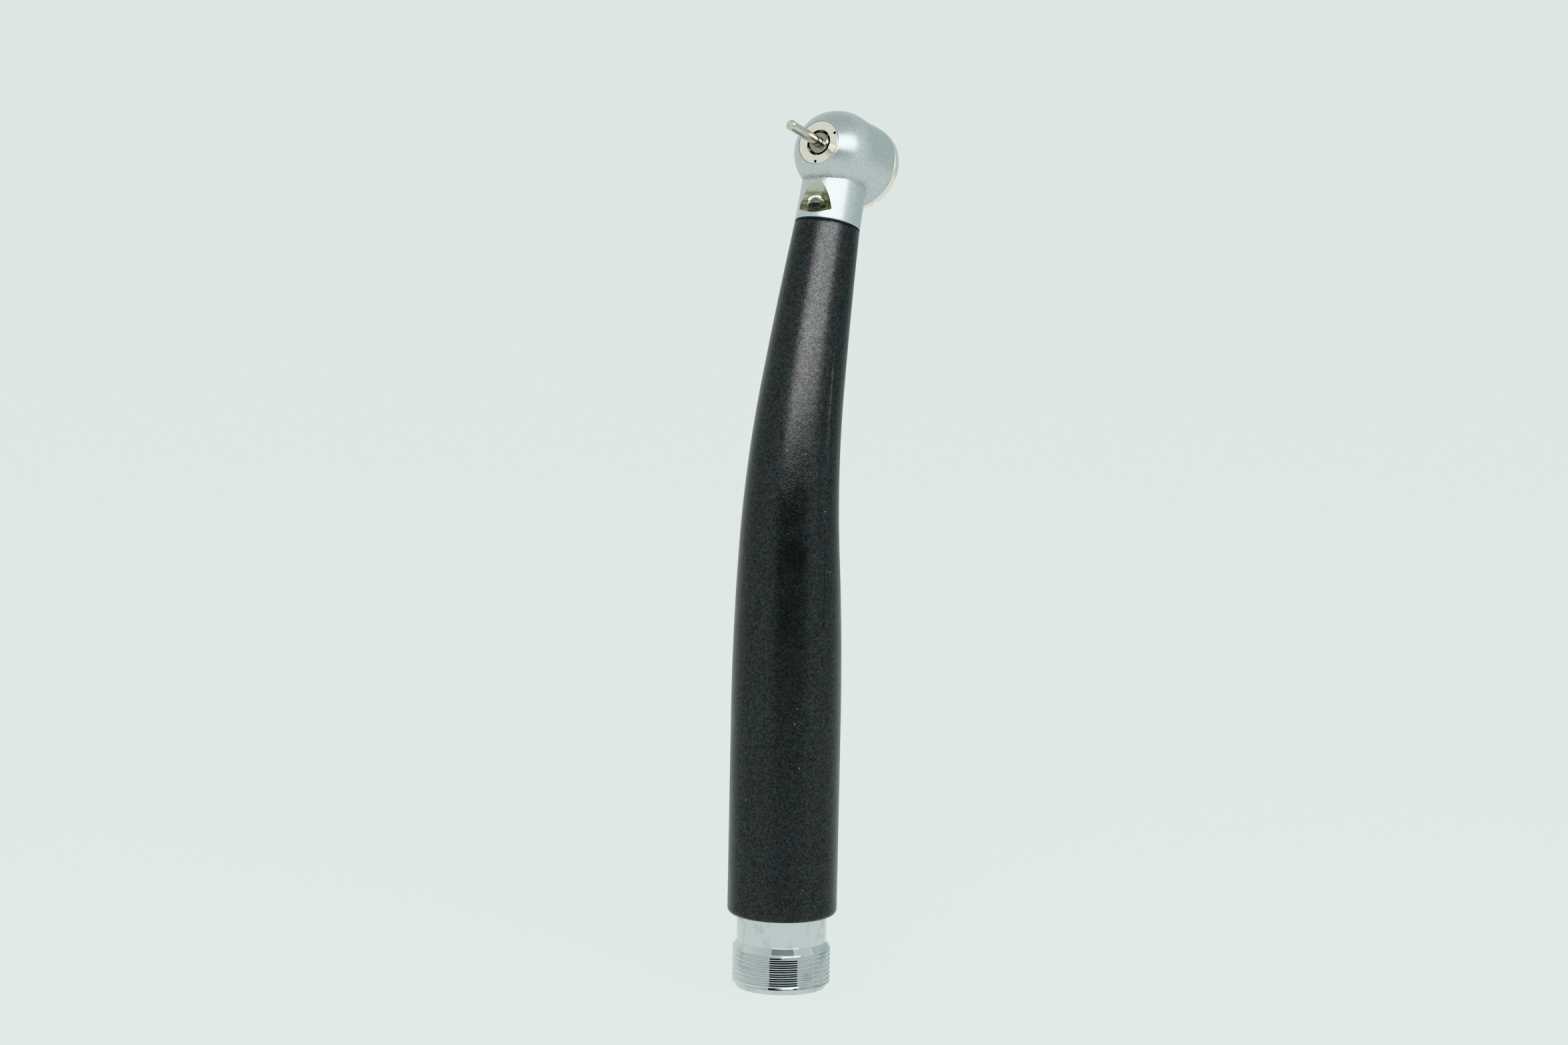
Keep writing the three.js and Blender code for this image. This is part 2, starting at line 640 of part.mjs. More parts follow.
function threadProfile() {
  const points = [];
  for (let i = 0; i < THREAD_TURNS; i++) {
    const foot = LIP_HEIGHT + i * THREAD_PITCH;
    points.push([THREAD_RADIUS - THREAD_DEPTH, foot], [THREAD_RADIUS, foot + THREAD_PITCH / 2]);
  }
  const end = LIP_HEIGHT + THREAD_TURNS * THREAD_PITCH;
  points.push([THREAD_RADIUS - THREAD_DEPTH, end], [THREAD_RADIUS, end + 0.2]);
  return points;
}

function connectorBody() {
  const coneStart = LIP_HEIGHT + (THREAD_TURNS + 0.6) * THREAD_PITCH;
  const grooveRadius = COLLAR_RADIUS - 2 * ORING_SECTION - FIT_GAP;
  const grooveHalf = ORING_SECTION + 2 * FIT_GAP;
  const profile = [
    [0, CUP_FLOOR],
    [CUP_RADIUS, CUP_FLOOR],
    [CUP_RADIUS, 0],
    [COLLAR_RADIUS, 0],
    [COLLAR_RADIUS, LIP_HEIGHT - 0.1],
    ...threadProfile(),
    [THREAD_RADIUS, coneStart],
    [COLLAR_RADIUS, coneStart + CONE_LENGTH],
    [COLLAR_RADIUS, ORING_STATION - grooveHalf],
    [grooveRadius, ORING_STATION - grooveHalf],
    [grooveRadius, ORING_STATION + grooveHalf],
    [COLLAR_RADIUS, ORING_STATION + grooveHalf],
    [COLLAR_RADIUS, CONNECTOR_LENGTH],
    [0, CONNECTOR_LENGTH],
  ];
  const drilled = (hose, radius) =>
    bar(radius + FIT_GAP, CUP_FLOOR - 1, CONNECTOR_LENGTH + 1, 12).translate(...hose.at, 0);
  return cut(turned(profile, 30), [
    drilled(DRIVE, DRIVE.radius),
    drilled(EXHAUST, EXHAUST.radius),
    drilled(WATER, SMALL_SPIGOT_RADIUS),
    drilled(CHIP_AIR, SMALL_SPIGOT_RADIUS),
  ]);
}

add(handle, "connector_body", connectorBody(), brightChrome);

function oRing(radius, section, station) {
  return new THREE.TorusGeometry(radius, section, 5, 24).translate(0, 0, station);
}

add(handle, "connector_o_ring", oRing(COLLAR_RADIUS - ORING_SECTION, ORING_SECTION, ORING_STATION), rubber);

function hoseGasket() {
  const disc = new THREE.Shape().absarc(0, 0, CUP_RADIUS - FIT_GAP * 2, 0, 2 * Math.PI);
  const hole = (hose, radius) =>
    disc.holes.push(new THREE.Path().absarc(...hose.at, radius + FIT_GAP, 0, 2 * Math.PI, true));
  hole(DRIVE, DRIVE.radius);
  hole(EXHAUST, EXHAUST.radius);
  hole(WATER, SMALL_SPIGOT_RADIUS);
  hole(CHIP_AIR, SMALL_SPIGOT_RADIUS);
  const plate = new THREE.ExtrudeGeometry(disc, {
    depth: GASKET_THICKNESS,
    curveSegments: 10,
    bevelEnabled: false,
  });
  return plate.translate(0, 0, CUP_DEPTH);
}

add(handle, "hose_gasket", hoseGasket(), greyRubber);

function spigot(hose, radius, end) {
  return tube(radius, radius - TUBE_WALL, SPIGOT_INSET, end, 12).translate(...hose.at, 0);
}

add(handle, "drive_air_spigot", spigot(DRIVE, DRIVE.radius, GENERATOR_START - SEAT_GAP), steel);
add(handle, "exhaust_spigot", spigot(EXHAUST, EXHAUST.radius, CONNECTOR_LENGTH), steel);
add(handle, "water_spigot", spigot(WATER, SMALL_SPIGOT_RADIUS, CONNECTOR_LENGTH), steel);
add(handle, "chip_air_spigot", spigot(CHIP_AIR, SMALL_SPIGOT_RADIUS, CONNECTOR_LENGTH), steel);

// ---------------------------------------------------------------- light generator

function bush(start) {
  const disc = new THREE.Shape().absarc(0, 0, GENERATOR_BORE - FIT_GAP, 0, 2 * Math.PI);
  disc.holes.push(new THREE.Path().absarc(0, 0, GENERATOR_SHAFT + FIT_GAP, 0, 2 * Math.PI, true));
  for (const angle of [90, 210, 330]) {
    const x = DRIVE.at[1] * Math.cos(angle * DEG);
    const y = DRIVE.at[1] * Math.sin(angle * DEG);
    disc.holes.push(new THREE.Path().absarc(x, y, 0.9, 0, 2 * Math.PI, true));
  }
  const plate = new THREE.ExtrudeGeometry(disc, {
    depth: BUSH_THICKNESS,
    curveSegments: 8,
    bevelEnabled: false,
  });
  return plate.translate(0, 0, start);
}

const SHAFT_BORE = GENERATOR_SHAFT + FIT_GAP;
const COIL_RADIUS = MAGNET_RADIUS + 0.3;
const CORE_RADIUS = COIL_RADIUS + COIL_THICKNESS + FIT_GAP;
const MAGNET_END = MAGNET_START + MAGNET_LENGTH;

add(
  handle,
  "generator_housing",
  tube(GENERATOR_RADIUS, GENERATOR_BORE, GENERATOR_START, GENERATOR_END, 28),
  steel,
);
add(handle, "generator_rear_bush", bush(GENERATOR_START + 0.2), brass);
add(handle, "generator_front_bush", bush(GENERATOR_END - 0.2 - BUSH_THICKNESS), brass);
const coil = tube(COIL_RADIUS + COIL_THICKNESS, COIL_RADIUS, MAGNET_START, MAGNET_END, 28);
add(handle, "stator_coil", coil, copper);
const core = tube(GENERATOR_BORE - FIT_GAP, CORE_RADIUS, MAGNET_START, MAGNET_END, 28);
add(handle, "stator_core", core, magnet);
add(
  handle,
  "generator_shaft",
  bar(GENERATOR_SHAFT, GENERATOR_START + 0.2, GENERATOR_END - 0.2, 16),
  steel,
);
add(handle, "magnet_rotor", tube(MAGNET_RADIUS, SHAFT_BORE, MAGNET_START, MAGNET_END, 16), magnet);
add(
  handle,
  "generator_vane",
  bladedWheel(2, GENERATOR_BORE - 0.5, SHAFT_BORE, 8, VANE_START, VANE_WIDTH),
  brass,
);

function outletCap() {
  const start = GENERATOR_END + FACE_GAP;
  const end = OUTLET_END;
  const floor = end - OUTLET_FLOOR;
  const cup = turned(
    [
      [0, floor],
      [GENERATOR_BORE, floor],
      [GENERATOR_BORE, start],
      [GENERATOR_RADIUS, start],
      [GENERATOR_RADIUS, floor],
      [GENERATOR_RADIUS - OUTLET_FLOOR, end],
      [0, end],
    ],
    28,
  );
  return cut(cup, [bar(DRIVE.radius + FIT_GAP, floor - 1, end + 1, 12).translate(...DRIVE.inNeck, 0)]);
}

add(handle, "generator_outlet_cap", outletCap(), steel);

// ---------------------------------------------------------------- head pieces that stand still

function frontRing() {
  const back = RING_THICKNESS;
  const channelFloor = RING_THICKNESS - CHANNEL_DEPTH;
  const ring = turned(
    [
      [RING_BORE, 0],
      [RING_RADIUS, 0],
      [RING_RADIUS, back],
      [SPRAY_CIRCLE + CHANNEL_WIDTH / 2, back],
      [SPRAY_CIRCLE + CHANNEL_WIDTH / 2, channelFloor],
      [SPRAY_CIRCLE - CHANNEL_WIDTH / 2, channelFloor],
      [SPRAY_CIRCLE - CHANNEL_WIDTH / 2, back],
      [RING_BORE, back],
    ],
    32,
  );
  const holes = Array.from({ length: SPRAY_HOLES }, (_, i) =>
    bar(SPRAY_RADIUS, -1, channelFloor + 0.2, 8)
      .translate(SPRAY_CIRCLE, 0, 0)
      .rotateZ(Math.PI + (i * 2 * Math.PI) / SPRAY_HOLES),
  );
  return cut(ring, holes);
}

add(head, "front_ring", frontRing(), warmNickel);

const WASHER_START = RING_THICKNESS + 0.15;
add(head, "preload_washer", tube(BEARING_OUTER - 0.1, 2.4, WASHER_START, WASHER_START + 0.25, 28), steel);

function bearing(name, start) {
  const end = start + BEARING_WIDTH;
  const middle = (start + end) / 2;
  const innerRace = tube(BALL_CIRCLE - BALL_RADIUS - INNER_RACE_GAP, BEARING_BORE + 0.03, start, end, 20);
  const outerRace = tube(BEARING_OUTER, BALL_CIRCLE + BALL_RADIUS + OUTER_RACE_GAP, start, end, 28);
  add(head, `${name}_bearing_outer`, outerRace, steel);
  add(head, `${name}_bearing_inner`, innerRace, steel);
  const turns = Array.from({ length: BALLS }, (_, i) => (i * 2 * Math.PI) / BALLS);
  const pocket = (angle) =>
    rod([BALL_CIRCLE - 0.5, 0, middle], [BALL_CIRCLE + 0.5, 0, middle], POCKET_RADIUS, 6).rotateZ(angle);
  const pockets = turns.map(pocket);
  const outside = BALL_CIRCLE + CAGE_WALL / 2;
  const ring = tube(outside, outside - CAGE_WALL, middle - CAGE_WIDTH / 2, middle + CAGE_WIDTH / 2, 21);
  add(head, `${name}_cage`, cut(ring, pockets), plasticCage);
  turns.forEach((angle, i) => {
    const ball = new THREE.SphereGeometry(BALL_RADIUS, 7, 5);
    ball.translate(BALL_CIRCLE * Math.cos(angle), BALL_CIRCLE * Math.sin(angle), middle);
    add(head, `${name}_ball_${i + 1}`, ball, ceramic);
  });
  add(head, `${name}_o_ring`, oRing(BEARING_OUTER + FIT_GAP + ORING_SECTION, ORING_SECTION, middle), rubber);
}

bearing("front", FRONT_BEARING_START);
bearing("rear", REAR_BEARING_START);

function backCap() {
  const middle = REAR_BEARING_START + BEARING_WIDTH / 2;
  const cup = BUTTON_RADIUS + BUTTON_FLANGE + 2 * FIT_GAP;
  const lip = BUTTON_RADIUS + 2 * FIT_GAP;
  const cap = turned(
    [
      [BEARING_SEAT, CAP_START],
      [CAP_THREAD_RADIUS, CAP_START],
      [CAP_THREAD_RADIUS, SHELL_LENGTH + FACE_GAP],
      [CAP_RADIUS, SHELL_LENGTH + FACE_GAP],
      [CAP_RADIUS + 0.02, SHELL_LENGTH + 0.7],
      [CAP_RADIUS - 0.08, CAP_BACK - 0.35],
      [CAP_RADIUS - 0.3, CAP_BACK],
      [lip, CAP_BACK],
      [lip, LIP_START],
      [cup, LIP_START],
      [cup, CAP_FLOOR],
      [PLUNGER_RADIUS + PLUNGER_GAP, CAP_FLOOR],
      [PLUNGER_RADIUS + PLUNGER_GAP, CAP_FLOOR - CAP_WEB],
      [BEARING_SEAT, CAP_FLOOR - CAP_WEB],
      [BEARING_SEAT, middle + 2 * ORING_SECTION],
      [ORING_GROOVE, middle + 2 * ORING_SECTION],
      [ORING_GROOVE, middle - 2 * ORING_SECTION],
      [BEARING_SEAT, middle - 2 * ORING_SECTION],
    ],
    32,
  );
  const notches = Array.from({ length: NOTCH_COUNT }, (_, i) =>
    new THREE.BoxGeometry(2.4, NOTCH_WIDTH, 2 * NOTCH_DEPTH)
      .translate(CAP_RADIUS, 0, CAP_BACK)
      .rotateZ(NOTCH_ANGLE + (i * 2 * Math.PI) / NOTCH_COUNT),
  );
  return cut(cap, notches);
}

add(head, "back_cap", backCap(), warmNickel);

// ---------------------------------------------------------------- rotor, chuck and bur

add(
  head,
  "impeller",
  bladedWheel(
    IMPELLER_HUB,
    IMPELLER_RADIUS,
    SPINDLE_RADIUS + FIT_GAP,
    IMPELLER_BLADES,
    CHAMBER_START + CHAMBER_CLEARANCE,
    CHAMBER_LENGTH - 2 * CHAMBER_CLEARANCE,
  ),
  blackAnodised,
);

const spindle = turned(
  [
    [BUR_RADIUS + 0.12, 0.25],
    [BUR_RADIUS + 0.3, -NOSE_PROUD],
    [NOSE_RADIUS - 0.2, -NOSE_PROUD],
    [NOSE_RADIUS, 0.1],
    [NOSE_RADIUS, FRONT_BEARING_START - FACE_GAP],
    [SPINDLE_RADIUS, FRONT_BEARING_START - FACE_GAP],
    [SPINDLE_RADIUS, SPINDLE_END],
    [SPINDLE_BORE, SPINDLE_END],
    [SPINDLE_BORE, CHUCK_START - FACE_GAP],
    [BUR_RADIUS + 0.12, CHUCK_START - FACE_GAP],
  ],
  20,
);
add(head, "spindle", spindle, toolSteel);

function chuck() {
  const sleeve = tube(SPINDLE_BORE - FIT_GAP, BUR_RADIUS + FIT_GAP, CHUCK_START, CHUCK_END, 16);
  const slots = Array.from({ length: CHUCK_SLOTS }, (_, i) =>
    new THREE.BoxGeometry(2, CHUCK_SLOT_WIDTH, 2 * CHUCK_SLOT_LENGTH)
      .translate(1, 0, CHUCK_END)
      .rotateZ((i * 2 * Math.PI) / CHUCK_SLOTS + 0.1),
  );
  return cut(sleeve, slots);
}

add(head, "chuck_collet", chuck(), toolSteel);

const bur = turned(
  [
    [0, -BUR_PROUD],
    [BUR_RADIUS - 0.18, -BUR_PROUD],
    [BUR_RADIUS, -BUR_PROUD + 0.22],
    [BUR_RADIUS, BUR_DEPTH - 0.2],
    [BUR_RADIUS - 0.2, BUR_DEPTH],
    [0, BUR_DEPTH],
  ],
  16,
);
add(head, "bur", bur, steel);

// ---------------------------------------------------------------- push button

const buttonTop = CAP_BACK + BUTTON_PROUD;
const plungerTip = SPINDLE_END + 0.1 + BUTTON_TRAVEL;
const pushButton = turned(
  [
    [0, plungerTip],
    [PLUNGER_RADIUS, plungerTip],
    [PLUNGER_RADIUS, BUTTON_BOTTOM],
    [BUTTON_RADIUS + BUTTON_FLANGE, BUTTON_BOTTOM],
    [BUTTON_RADIUS + BUTTON_FLANGE, BUTTON_BOTTOM + BUTTON_LIP],
    [BUTTON_RADIUS, BUTTON_BOTTOM + BUTTON_LIP],
    [BUTTON_RADIUS, buttonTop - 0.15],
    [BUTTON_RADIUS - 0.2, buttonTop],
    [BUTTON_RADIUS / 2, buttonTop + 0.75 * BUTTON_DOME],
    [0, buttonTop + BUTTON_DOME],
  ],
  32,
);
add(head, "push_button", pushButton, satinChrome);

const springRise = BUTTON_BOTTOM - CAP_FLOOR - 2 * SPRING_WIRE - 2 * FACE_GAP;
const springPath = new THREE.CatmullRomCurve3(
  stations(0, SPRING_TURNS, SPRING_TURNS * 8).map((turn) => {
    const angle = turn * 2 * Math.PI;
    const height = CAP_FLOOR + FACE_GAP + SPRING_WIRE + (springRise * turn) / SPRING_TURNS;
    return new THREE.Vector3(SPRING_RADIUS * Math.cos(angle), SPRING_RADIUS * Math.sin(angle), height);
  }),
);
const springWire = new THREE.ExtrudeGeometry(new THREE.Shape().absarc(0, 0, SPRING_WIRE, 0, 2 * Math.PI), {
  extrudePath: springPath,
  steps: SPRING_TURNS * 14,
  curveSegments: 2,
  bevelEnabled: false,
});
add(head, "button_spring", springWire, steel);

export default handpiece;
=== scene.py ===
"""High speed dental handpiece: fine surfaces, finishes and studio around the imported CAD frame."""

import math

import bmesh
import bpy
from mathutils import Matrix, Vector


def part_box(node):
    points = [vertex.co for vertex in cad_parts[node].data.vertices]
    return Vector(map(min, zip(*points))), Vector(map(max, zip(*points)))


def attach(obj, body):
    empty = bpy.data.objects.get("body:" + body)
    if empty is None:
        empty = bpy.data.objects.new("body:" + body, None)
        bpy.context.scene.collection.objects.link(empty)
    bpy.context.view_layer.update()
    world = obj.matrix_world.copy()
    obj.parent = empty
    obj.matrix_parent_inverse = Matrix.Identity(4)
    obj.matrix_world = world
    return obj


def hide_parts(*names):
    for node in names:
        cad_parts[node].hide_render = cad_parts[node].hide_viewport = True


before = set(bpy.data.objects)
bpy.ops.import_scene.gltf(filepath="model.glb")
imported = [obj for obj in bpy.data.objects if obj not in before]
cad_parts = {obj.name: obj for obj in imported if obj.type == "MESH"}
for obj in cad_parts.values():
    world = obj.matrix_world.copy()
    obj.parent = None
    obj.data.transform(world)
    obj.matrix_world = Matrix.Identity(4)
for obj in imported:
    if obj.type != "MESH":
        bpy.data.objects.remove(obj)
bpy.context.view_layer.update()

MM = 0.001  # lengths below are millimetres unless they say otherwise

# ------------------------------------------------------------------ driving dimensions

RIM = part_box("connector_body")[0].z / MM  # the rim that the handpiece stands on

# The handle's axis, by station: the distance along it from the rim
STRAIGHT_LENGTH = 66.5
MAIN_BEND_RADIUS = 118
MAIN_BEND = math.radians(12.7)
UPPER_BEND_LENGTH = 25.6
UPPER_BEND = math.radians(2.8)

# Grip sleeve
GRIP_RADIUS = 8.48
GRIP_TAPER = 0.0528
GRIP_BLEND = 12
GRIP_CORNER = 0.9
SLEEVE_START = 11.4
SLEEVE_WALL = 0.8
SOCKET_LENGTH = 14
SOCKET_SLOPE = 4  # length over which the socket opens into the hollow
FLUTE_COUNT = 5
FLUTE_PITCH = math.radians(54)
FLUTE_START = 51.5
FLUTE_LENGTH = 49.5
FLUTE_WIDTH = 2
FLUTE_DEPTH = 0.3

# Neck and head
NECK_RADIUS = 5.08
NECK_TOP_RADIUS = 4.97
SEAL_THICKNESS = 0.2
FACE_GAP = 0.05
FIT_GAP = 0.05
TAIL_LENGTH = 12
TAIL_RADIUS = 4.33
TAIL_BORE = 3.53
HEAD_RISE = 11.4
NECK_OVERLAP = 4.5  # how far short of the bur's axis the neck's own shape ends
PASSAGE_OVERLAP = 4.2
HEAD_FRONT = 6.4
HEAD_RADIUS = 6.66
HEAD_NOSE_RADIUS = 3.65
SHELL_LENGTH = 12
CAP_RADIUS = HEAD_RADIUS + 0.17
CAP_BACK = 13.7
BEARING_SEAT = 3.325  # bore that holds the cartridge's bearings
ORING_GROOVE = 3.885
ORING_GROOVE_WIDTH = 1.12
FRONT_GROOVE_START = 2.13
REAR_GROOVE_START = 9.63
CHAMBER_RADIUS = 5  # room for the impeller
CHAMBER_START = 4.2
CHAMBER_END = 8.8
CAP_SCREW_RADIUS = 5.4
CAP_SCREW_START = CHAMBER_END + 0.1
CAP_WEB = 0.4
RING_RADIUS = 3.42
RING_BORE = 2.01
RING_THICKNESS = 0.9
SPRAY_HOLES = 3
SPRAY_RADIUS = 0.23
SPRAY_CIRCLE = 3.03
SPRAY_CHANNEL = 0.44  # width of the groove that feeds the holes
NOSE_RADIUS = 1.7
NOSE_PROUD = 0.15
BUR_RADIUS = 0.8
BUR_PROUD = 8.6
BUR_DEPTH = 10.3
SPINDLE_RADIUS = 1.5675
SPINDLE_END = 10.88
CHUCK_BORE = 1.28
CHUCK_START = 0.95
BUTTON_RADIUS = 4.4
BUTTON_FLANGE = 0.5
BUTTON_LIP = 0.35  # thickness of the flange
BUTTON_TRAVEL = 0.65
BUTTON_PROUD = 0.25
BUTTON_DOME = 0.35
PLUNGER_RADIUS = 0.9
PLUNGER_GAP = 0.4
NOTCH_ANGLE = math.radians(147.5)
NOTCH_COUNT = 2
NOTCH_WIDTH = 1.05
NOTCH_DEPTH = 0.9
NOTCH_LENGTH = 2.4
MARK_ANGLE = math.radians(109.5)  # hairline across the cap's edge
MARK_WIDTH = 0.09
MARK_DEPTH = 1.6
MARK_LENGTH = 0.3

# Light
LED_RADIUS = 1.4
LED_SEAT_DEPTH = 1.5
DIE_RADIUS = 0.85
LED_PROUD = 0.65  # straight part of the lens above the window's floor
LED_TILT = math.radians(37.8)
WINDOW_RADIUS = 3.15
WINDOW_RISE = 0.72
WINDOW_LENGTH = 5.2  # short enough to leave the head whole
TARNISH_REACH = 6.5  # from the lens's seat
# Brown darkening along the seam where the head meets the neck: painted crease shade, given grime's colour
# and roughness.
GRIME_AND_SHADE_REACH = 0.55  # from the seam between head and neck
GRIME_AND_SHADE_END = 3.5  # behind the front face, where the painted seam shade and grime are thinnest
GRIME_AND_SHADE_FADE = 4  # length over which it thickens forwards
GRIME_AND_SHADE_LEAST = 0.25

# Connector
COLLAR_RADIUS = 6.975
THREAD_RADIUS = 7.6
THREAD_PITCH = 0.7
THREAD_DEPTH = 0.245
THREAD_TURNS = 7
THREAD_RUNOUT = 0.15
LIP_HEIGHT = 0.9
CONNECTOR_LENGTH = 24
CUP_RADIUS = 5.25
CUP_DEPTH = 4.5
GASKET_THICKNESS = 1.2
SPIGOT_INSET = 1
SPIGOT_WALL = 0.2
ORING_STATION = 16.7
SEAL_GROOVE_DEPTH = 0.61
SEAL_GROOVE_WIDTH = 0.76
CONE_LENGTH = 1
SPIGOTS = {  # place across the connector, radius, station where it ends inside
    "drive_air_spigot": ((0, 2.6), 1.3, 30.7),
    "exhaust_spigot": ((0, -2.4), 1.6, 24),
    "water_spigot": ((-3.3, 0), 0.75, 24),
    "chip_air_spigot": ((3.3, 0), 0.75, 24),
}
LINES_IN_NECK = [((0.5, 1.9), 1.35), ((1.2, -1.6), 1.1), ((-0.8, -2.7), 0.5), ((2.6, 0.2), 0.5)]

# ------------------------------------------------------------------ worked-out dimensions

LEAN = MAIN_BEND + UPPER_BEND
MAIN_BEND_LENGTH = MAIN_BEND * MAIN_BEND_RADIUS
UPPER_BEND_RADIUS = UPPER_BEND_LENGTH / UPPER_BEND
SLEEVE_END = STRAIGHT_LENGTH + MAIN_BEND_LENGTH + UPPER_BEND_LENGTH
NECK_START = SLEEVE_END + SEAL_THICKNESS + 2 * FACE_GAP
HEAD_STATION = NECK_START + HEAD_RISE
TAPER_START = SLEEVE_END - (GRIP_RADIUS - NECK_RADIUS) / GRIP_TAPER
CUP_FLOOR = CUP_DEPTH + GASKET_THICKNESS + FACE_GAP


def axis_at(station):
    """Place in the bend's plane (x, z from the rim) and lean from upright at a station."""
    if station <= STRAIGHT_LENGTH:
        return 0, station, 0
    main = min(station - STRAIGHT_LENGTH, MAIN_BEND_LENGTH) / MAIN_BEND_RADIUS
    upper = min(max(station - STRAIGHT_LENGTH - MAIN_BEND_LENGTH, 0), UPPER_BEND_LENGTH)
    lean = main + upper / UPPER_BEND_RADIUS
    beyond = max(station - SLEEVE_END, 0)
    x = MAIN_BEND_RADIUS * (1 - math.cos(main))
    x += UPPER_BEND_RADIUS * (math.cos(main) - math.cos(lean)) + beyond * math.sin(lean)
    z = STRAIGHT_LENGTH + MAIN_BEND_RADIUS * math.sin(main)
    z += UPPER_BEND_RADIUS * (math.sin(lean) - math.sin(main)) + beyond * math.cos(lean)
    return x, z, lean


def in_handle(point):
    """A point made straight along +Z by station, bent along the handle's axis into the row frame."""
    x, z, lean = axis_at(point[2])
    return x + point[0] * math.cos(lean), point[1], RIM + z - point[0] * math.sin(lean)


def head_matrix():
    """The head's frame: +Z backwards along the bur's axis from the front ring's face, +X to its top."""
    top = Vector((math.sin(LEAN), 0, math.cos(LEAN)))
    side = Vector((0, -1, 0))
    back = Vector((math.cos(LEAN), 0, -math.sin(LEAN)))
    x, z, _ = axis_at(HEAD_STATION)
    origin = Vector((x, 0, RIM + z)) - HEAD_FRONT * back
    matrix = Matrix((top, side, back)).transposed().to_4x4()
    matrix.translation = origin
    return matrix


HEAD = head_matrix()


def in_head(point):
    """A point of the head's frame in the row frame."""
    return tuple(HEAD @ Vector(point))


# ------------------------------------------------------------------ profiles and meshes


def spread(start, end, step):
    """Even places from start to end, no further apart than step."""
    count = max(1, math.ceil(abs(end - start) / step))
    return [start + (end - start) * i / count for i in range(count + 1)]


def arc(here, before, after, rounding, steps):
    """Points of a rounded corner, with a support point on each side so that flats stay flat."""
    to_before = (before - here).normalized()
    to_after = (after - here).normalized()
    half = to_before.angle(to_after) / 2
    room = 0.45 * min((before - here).length, (after - here).length)
    reach = min(rounding / math.tan(half), room)
    radius = reach * math.tan(half)
    centre = here + (to_before + to_after).normalized() * (radius / math.sin(half))
    start = here + to_before * reach - centre
    end = here + to_after * reach - centre
    sweep = start.angle(end)
    points = [here + to_before * (reach * 1.15)]
    for i in range(steps + 1):
        share = i / steps
        a = math.sin((1 - share) * sweep) / math.sin(sweep)
        b = math.sin(share * sweep) / math.sin(sweep)
        points.append(centre + a * start + b * end)
    points.append(here + to_after * (reach * 1.15))
    return points


def rounded(corners, steps=4):
    """A profile of (radius, height) points, from corners given as (radius, height, rounding)."""
    points = []
    last = len(corners) - 1
    for i, (radius, height, rounding) in enumerate(corners):
        here = Vector((radius, height))
        on_axis = radius < 1e-6
        if rounding == 0 or on_axis:
            points.append(here)
            continue
        before = Vector(corners[i - 1][:2])
        after = Vector(corners[0 if i == last else i + 1][:2])
        points += arc(here, before, after, rounding, steps)
    return [(p.x, p.y) for p in points]


def between(a, b, c, d, share):
    """A value on the Catmull-Rom curve from b to c, whose neighbours are a and d."""
    slope = (c - a) * share
    square = (2 * a - 5 * b + 4 * c - d) * share**2
    cube = (3 * b - a - 3 * c + d) * share**3
    return 0.5 * (2 * b + slope + square + cube)


def smooth_curve(points, steps):
    """Points on a smooth curve through the given ones."""
    padded = [points[0], *points, points[-1]]
    made = []
    for four in zip(padded, padded[1:], padded[2:], padded[3:]):
        for i in range(steps):
            made.append(tuple(between(*values, i / steps) for values in zip(*four)))
    made.append(points[-1])
    return made


def lathe(profile, sides):
    """Points and faces turned about +Z; a profile off the axis closes on itself."""
    points = []
    faces = []
    rings = []
    for radius, height in profile:
        start = len(points)
        if radius < 1e-6:
            points.append((0, 0, height))
            rings.append([start] * sides)
            continue
        for i in range(sides):
            angle = 2 * math.pi * i / sides
            points.append((radius * math.cos(angle), radius * math.sin(angle), height))
        rings.append(list(range(start, start + sides)))
    if profile[0][0] > 1e-6:
        rings.append(rings[0])
    for low, high in zip(rings, rings[1:]):
        for i in range(sides):
            j = (i + 1) % sides
            corners = []
            for index in (low[i], low[j], high[j], high[i]):
                if index not in corners:
                    corners.append(index)
            if len(corners) > 2:
                faces.append(corners)
    return points, faces


def cylinder(radius, start, end, sides=48):
    """A solid round bar about +Z, as points and faces."""
    return lathe([(0, start), (radius, start), (radius, end), (0, end)], sides)


def moved(shape, place):
    """The same shape with each point passed through a function."""
    points, faces = shape
    return [place(p) for p in points], faces


def mesh_object(name, shape, sharp_angle=32):
    """A Blender mesh object from points in millimetres, with its faces pointing out."""
    points, faces = shape
    mesh = bpy.data.meshes.new(name)
    mesh.from_pydata([tuple(c * MM for c in p) for p in points], [], faces)
    obj = bpy.data.objects.new(name, mesh)
    bpy.context.scene.collection.objects.link(obj)
    clean(obj, sharp_angle)
    return obj


def clean(obj, sharp_angle):
    """Merges doubles, turns faces outwards and marks the edges that stay crisp."""
    made = bmesh.new()
    made.from_mesh(obj.data)
    bmesh.ops.remove_doubles(made, verts=made.verts, dist=0.0002 * MM)
    bmesh.ops.dissolve_degenerate(made, edges=made.edges, dist=0.0001 * MM)
    bmesh.ops.recalc_face_normals(made, faces=made.faces)
    for face in made.faces:
        face.smooth = True
    for edge in made.edges:
        edge.smooth = edge.calc_face_angle(0) < math.radians(sharp_angle)
    made.to_mesh(obj.data)
    made.free()


def combine(obj, shapes, operation="DIFFERENCE", sharp_angle=32):
    """Cuts or joins shapes into an object with boolean modifiers, applied one after the other."""
    for shape in shapes:
        tool = mesh_object("tool", shape)
        step = obj.modifiers.new("step", "BOOLEAN")
        step.operation = operation
        step.solver = "MANIFOLD"
        step.object = tool
        graph = bpy.context.evaluated_depsgraph_get()
        result = bpy.data.meshes.new_from_object(obj.evaluated_get(graph))
        obj.modifiers.clear()
        obj.data = result
        bpy.data.objects.remove(tool)
    clean(obj, sharp_angle)
    return obj


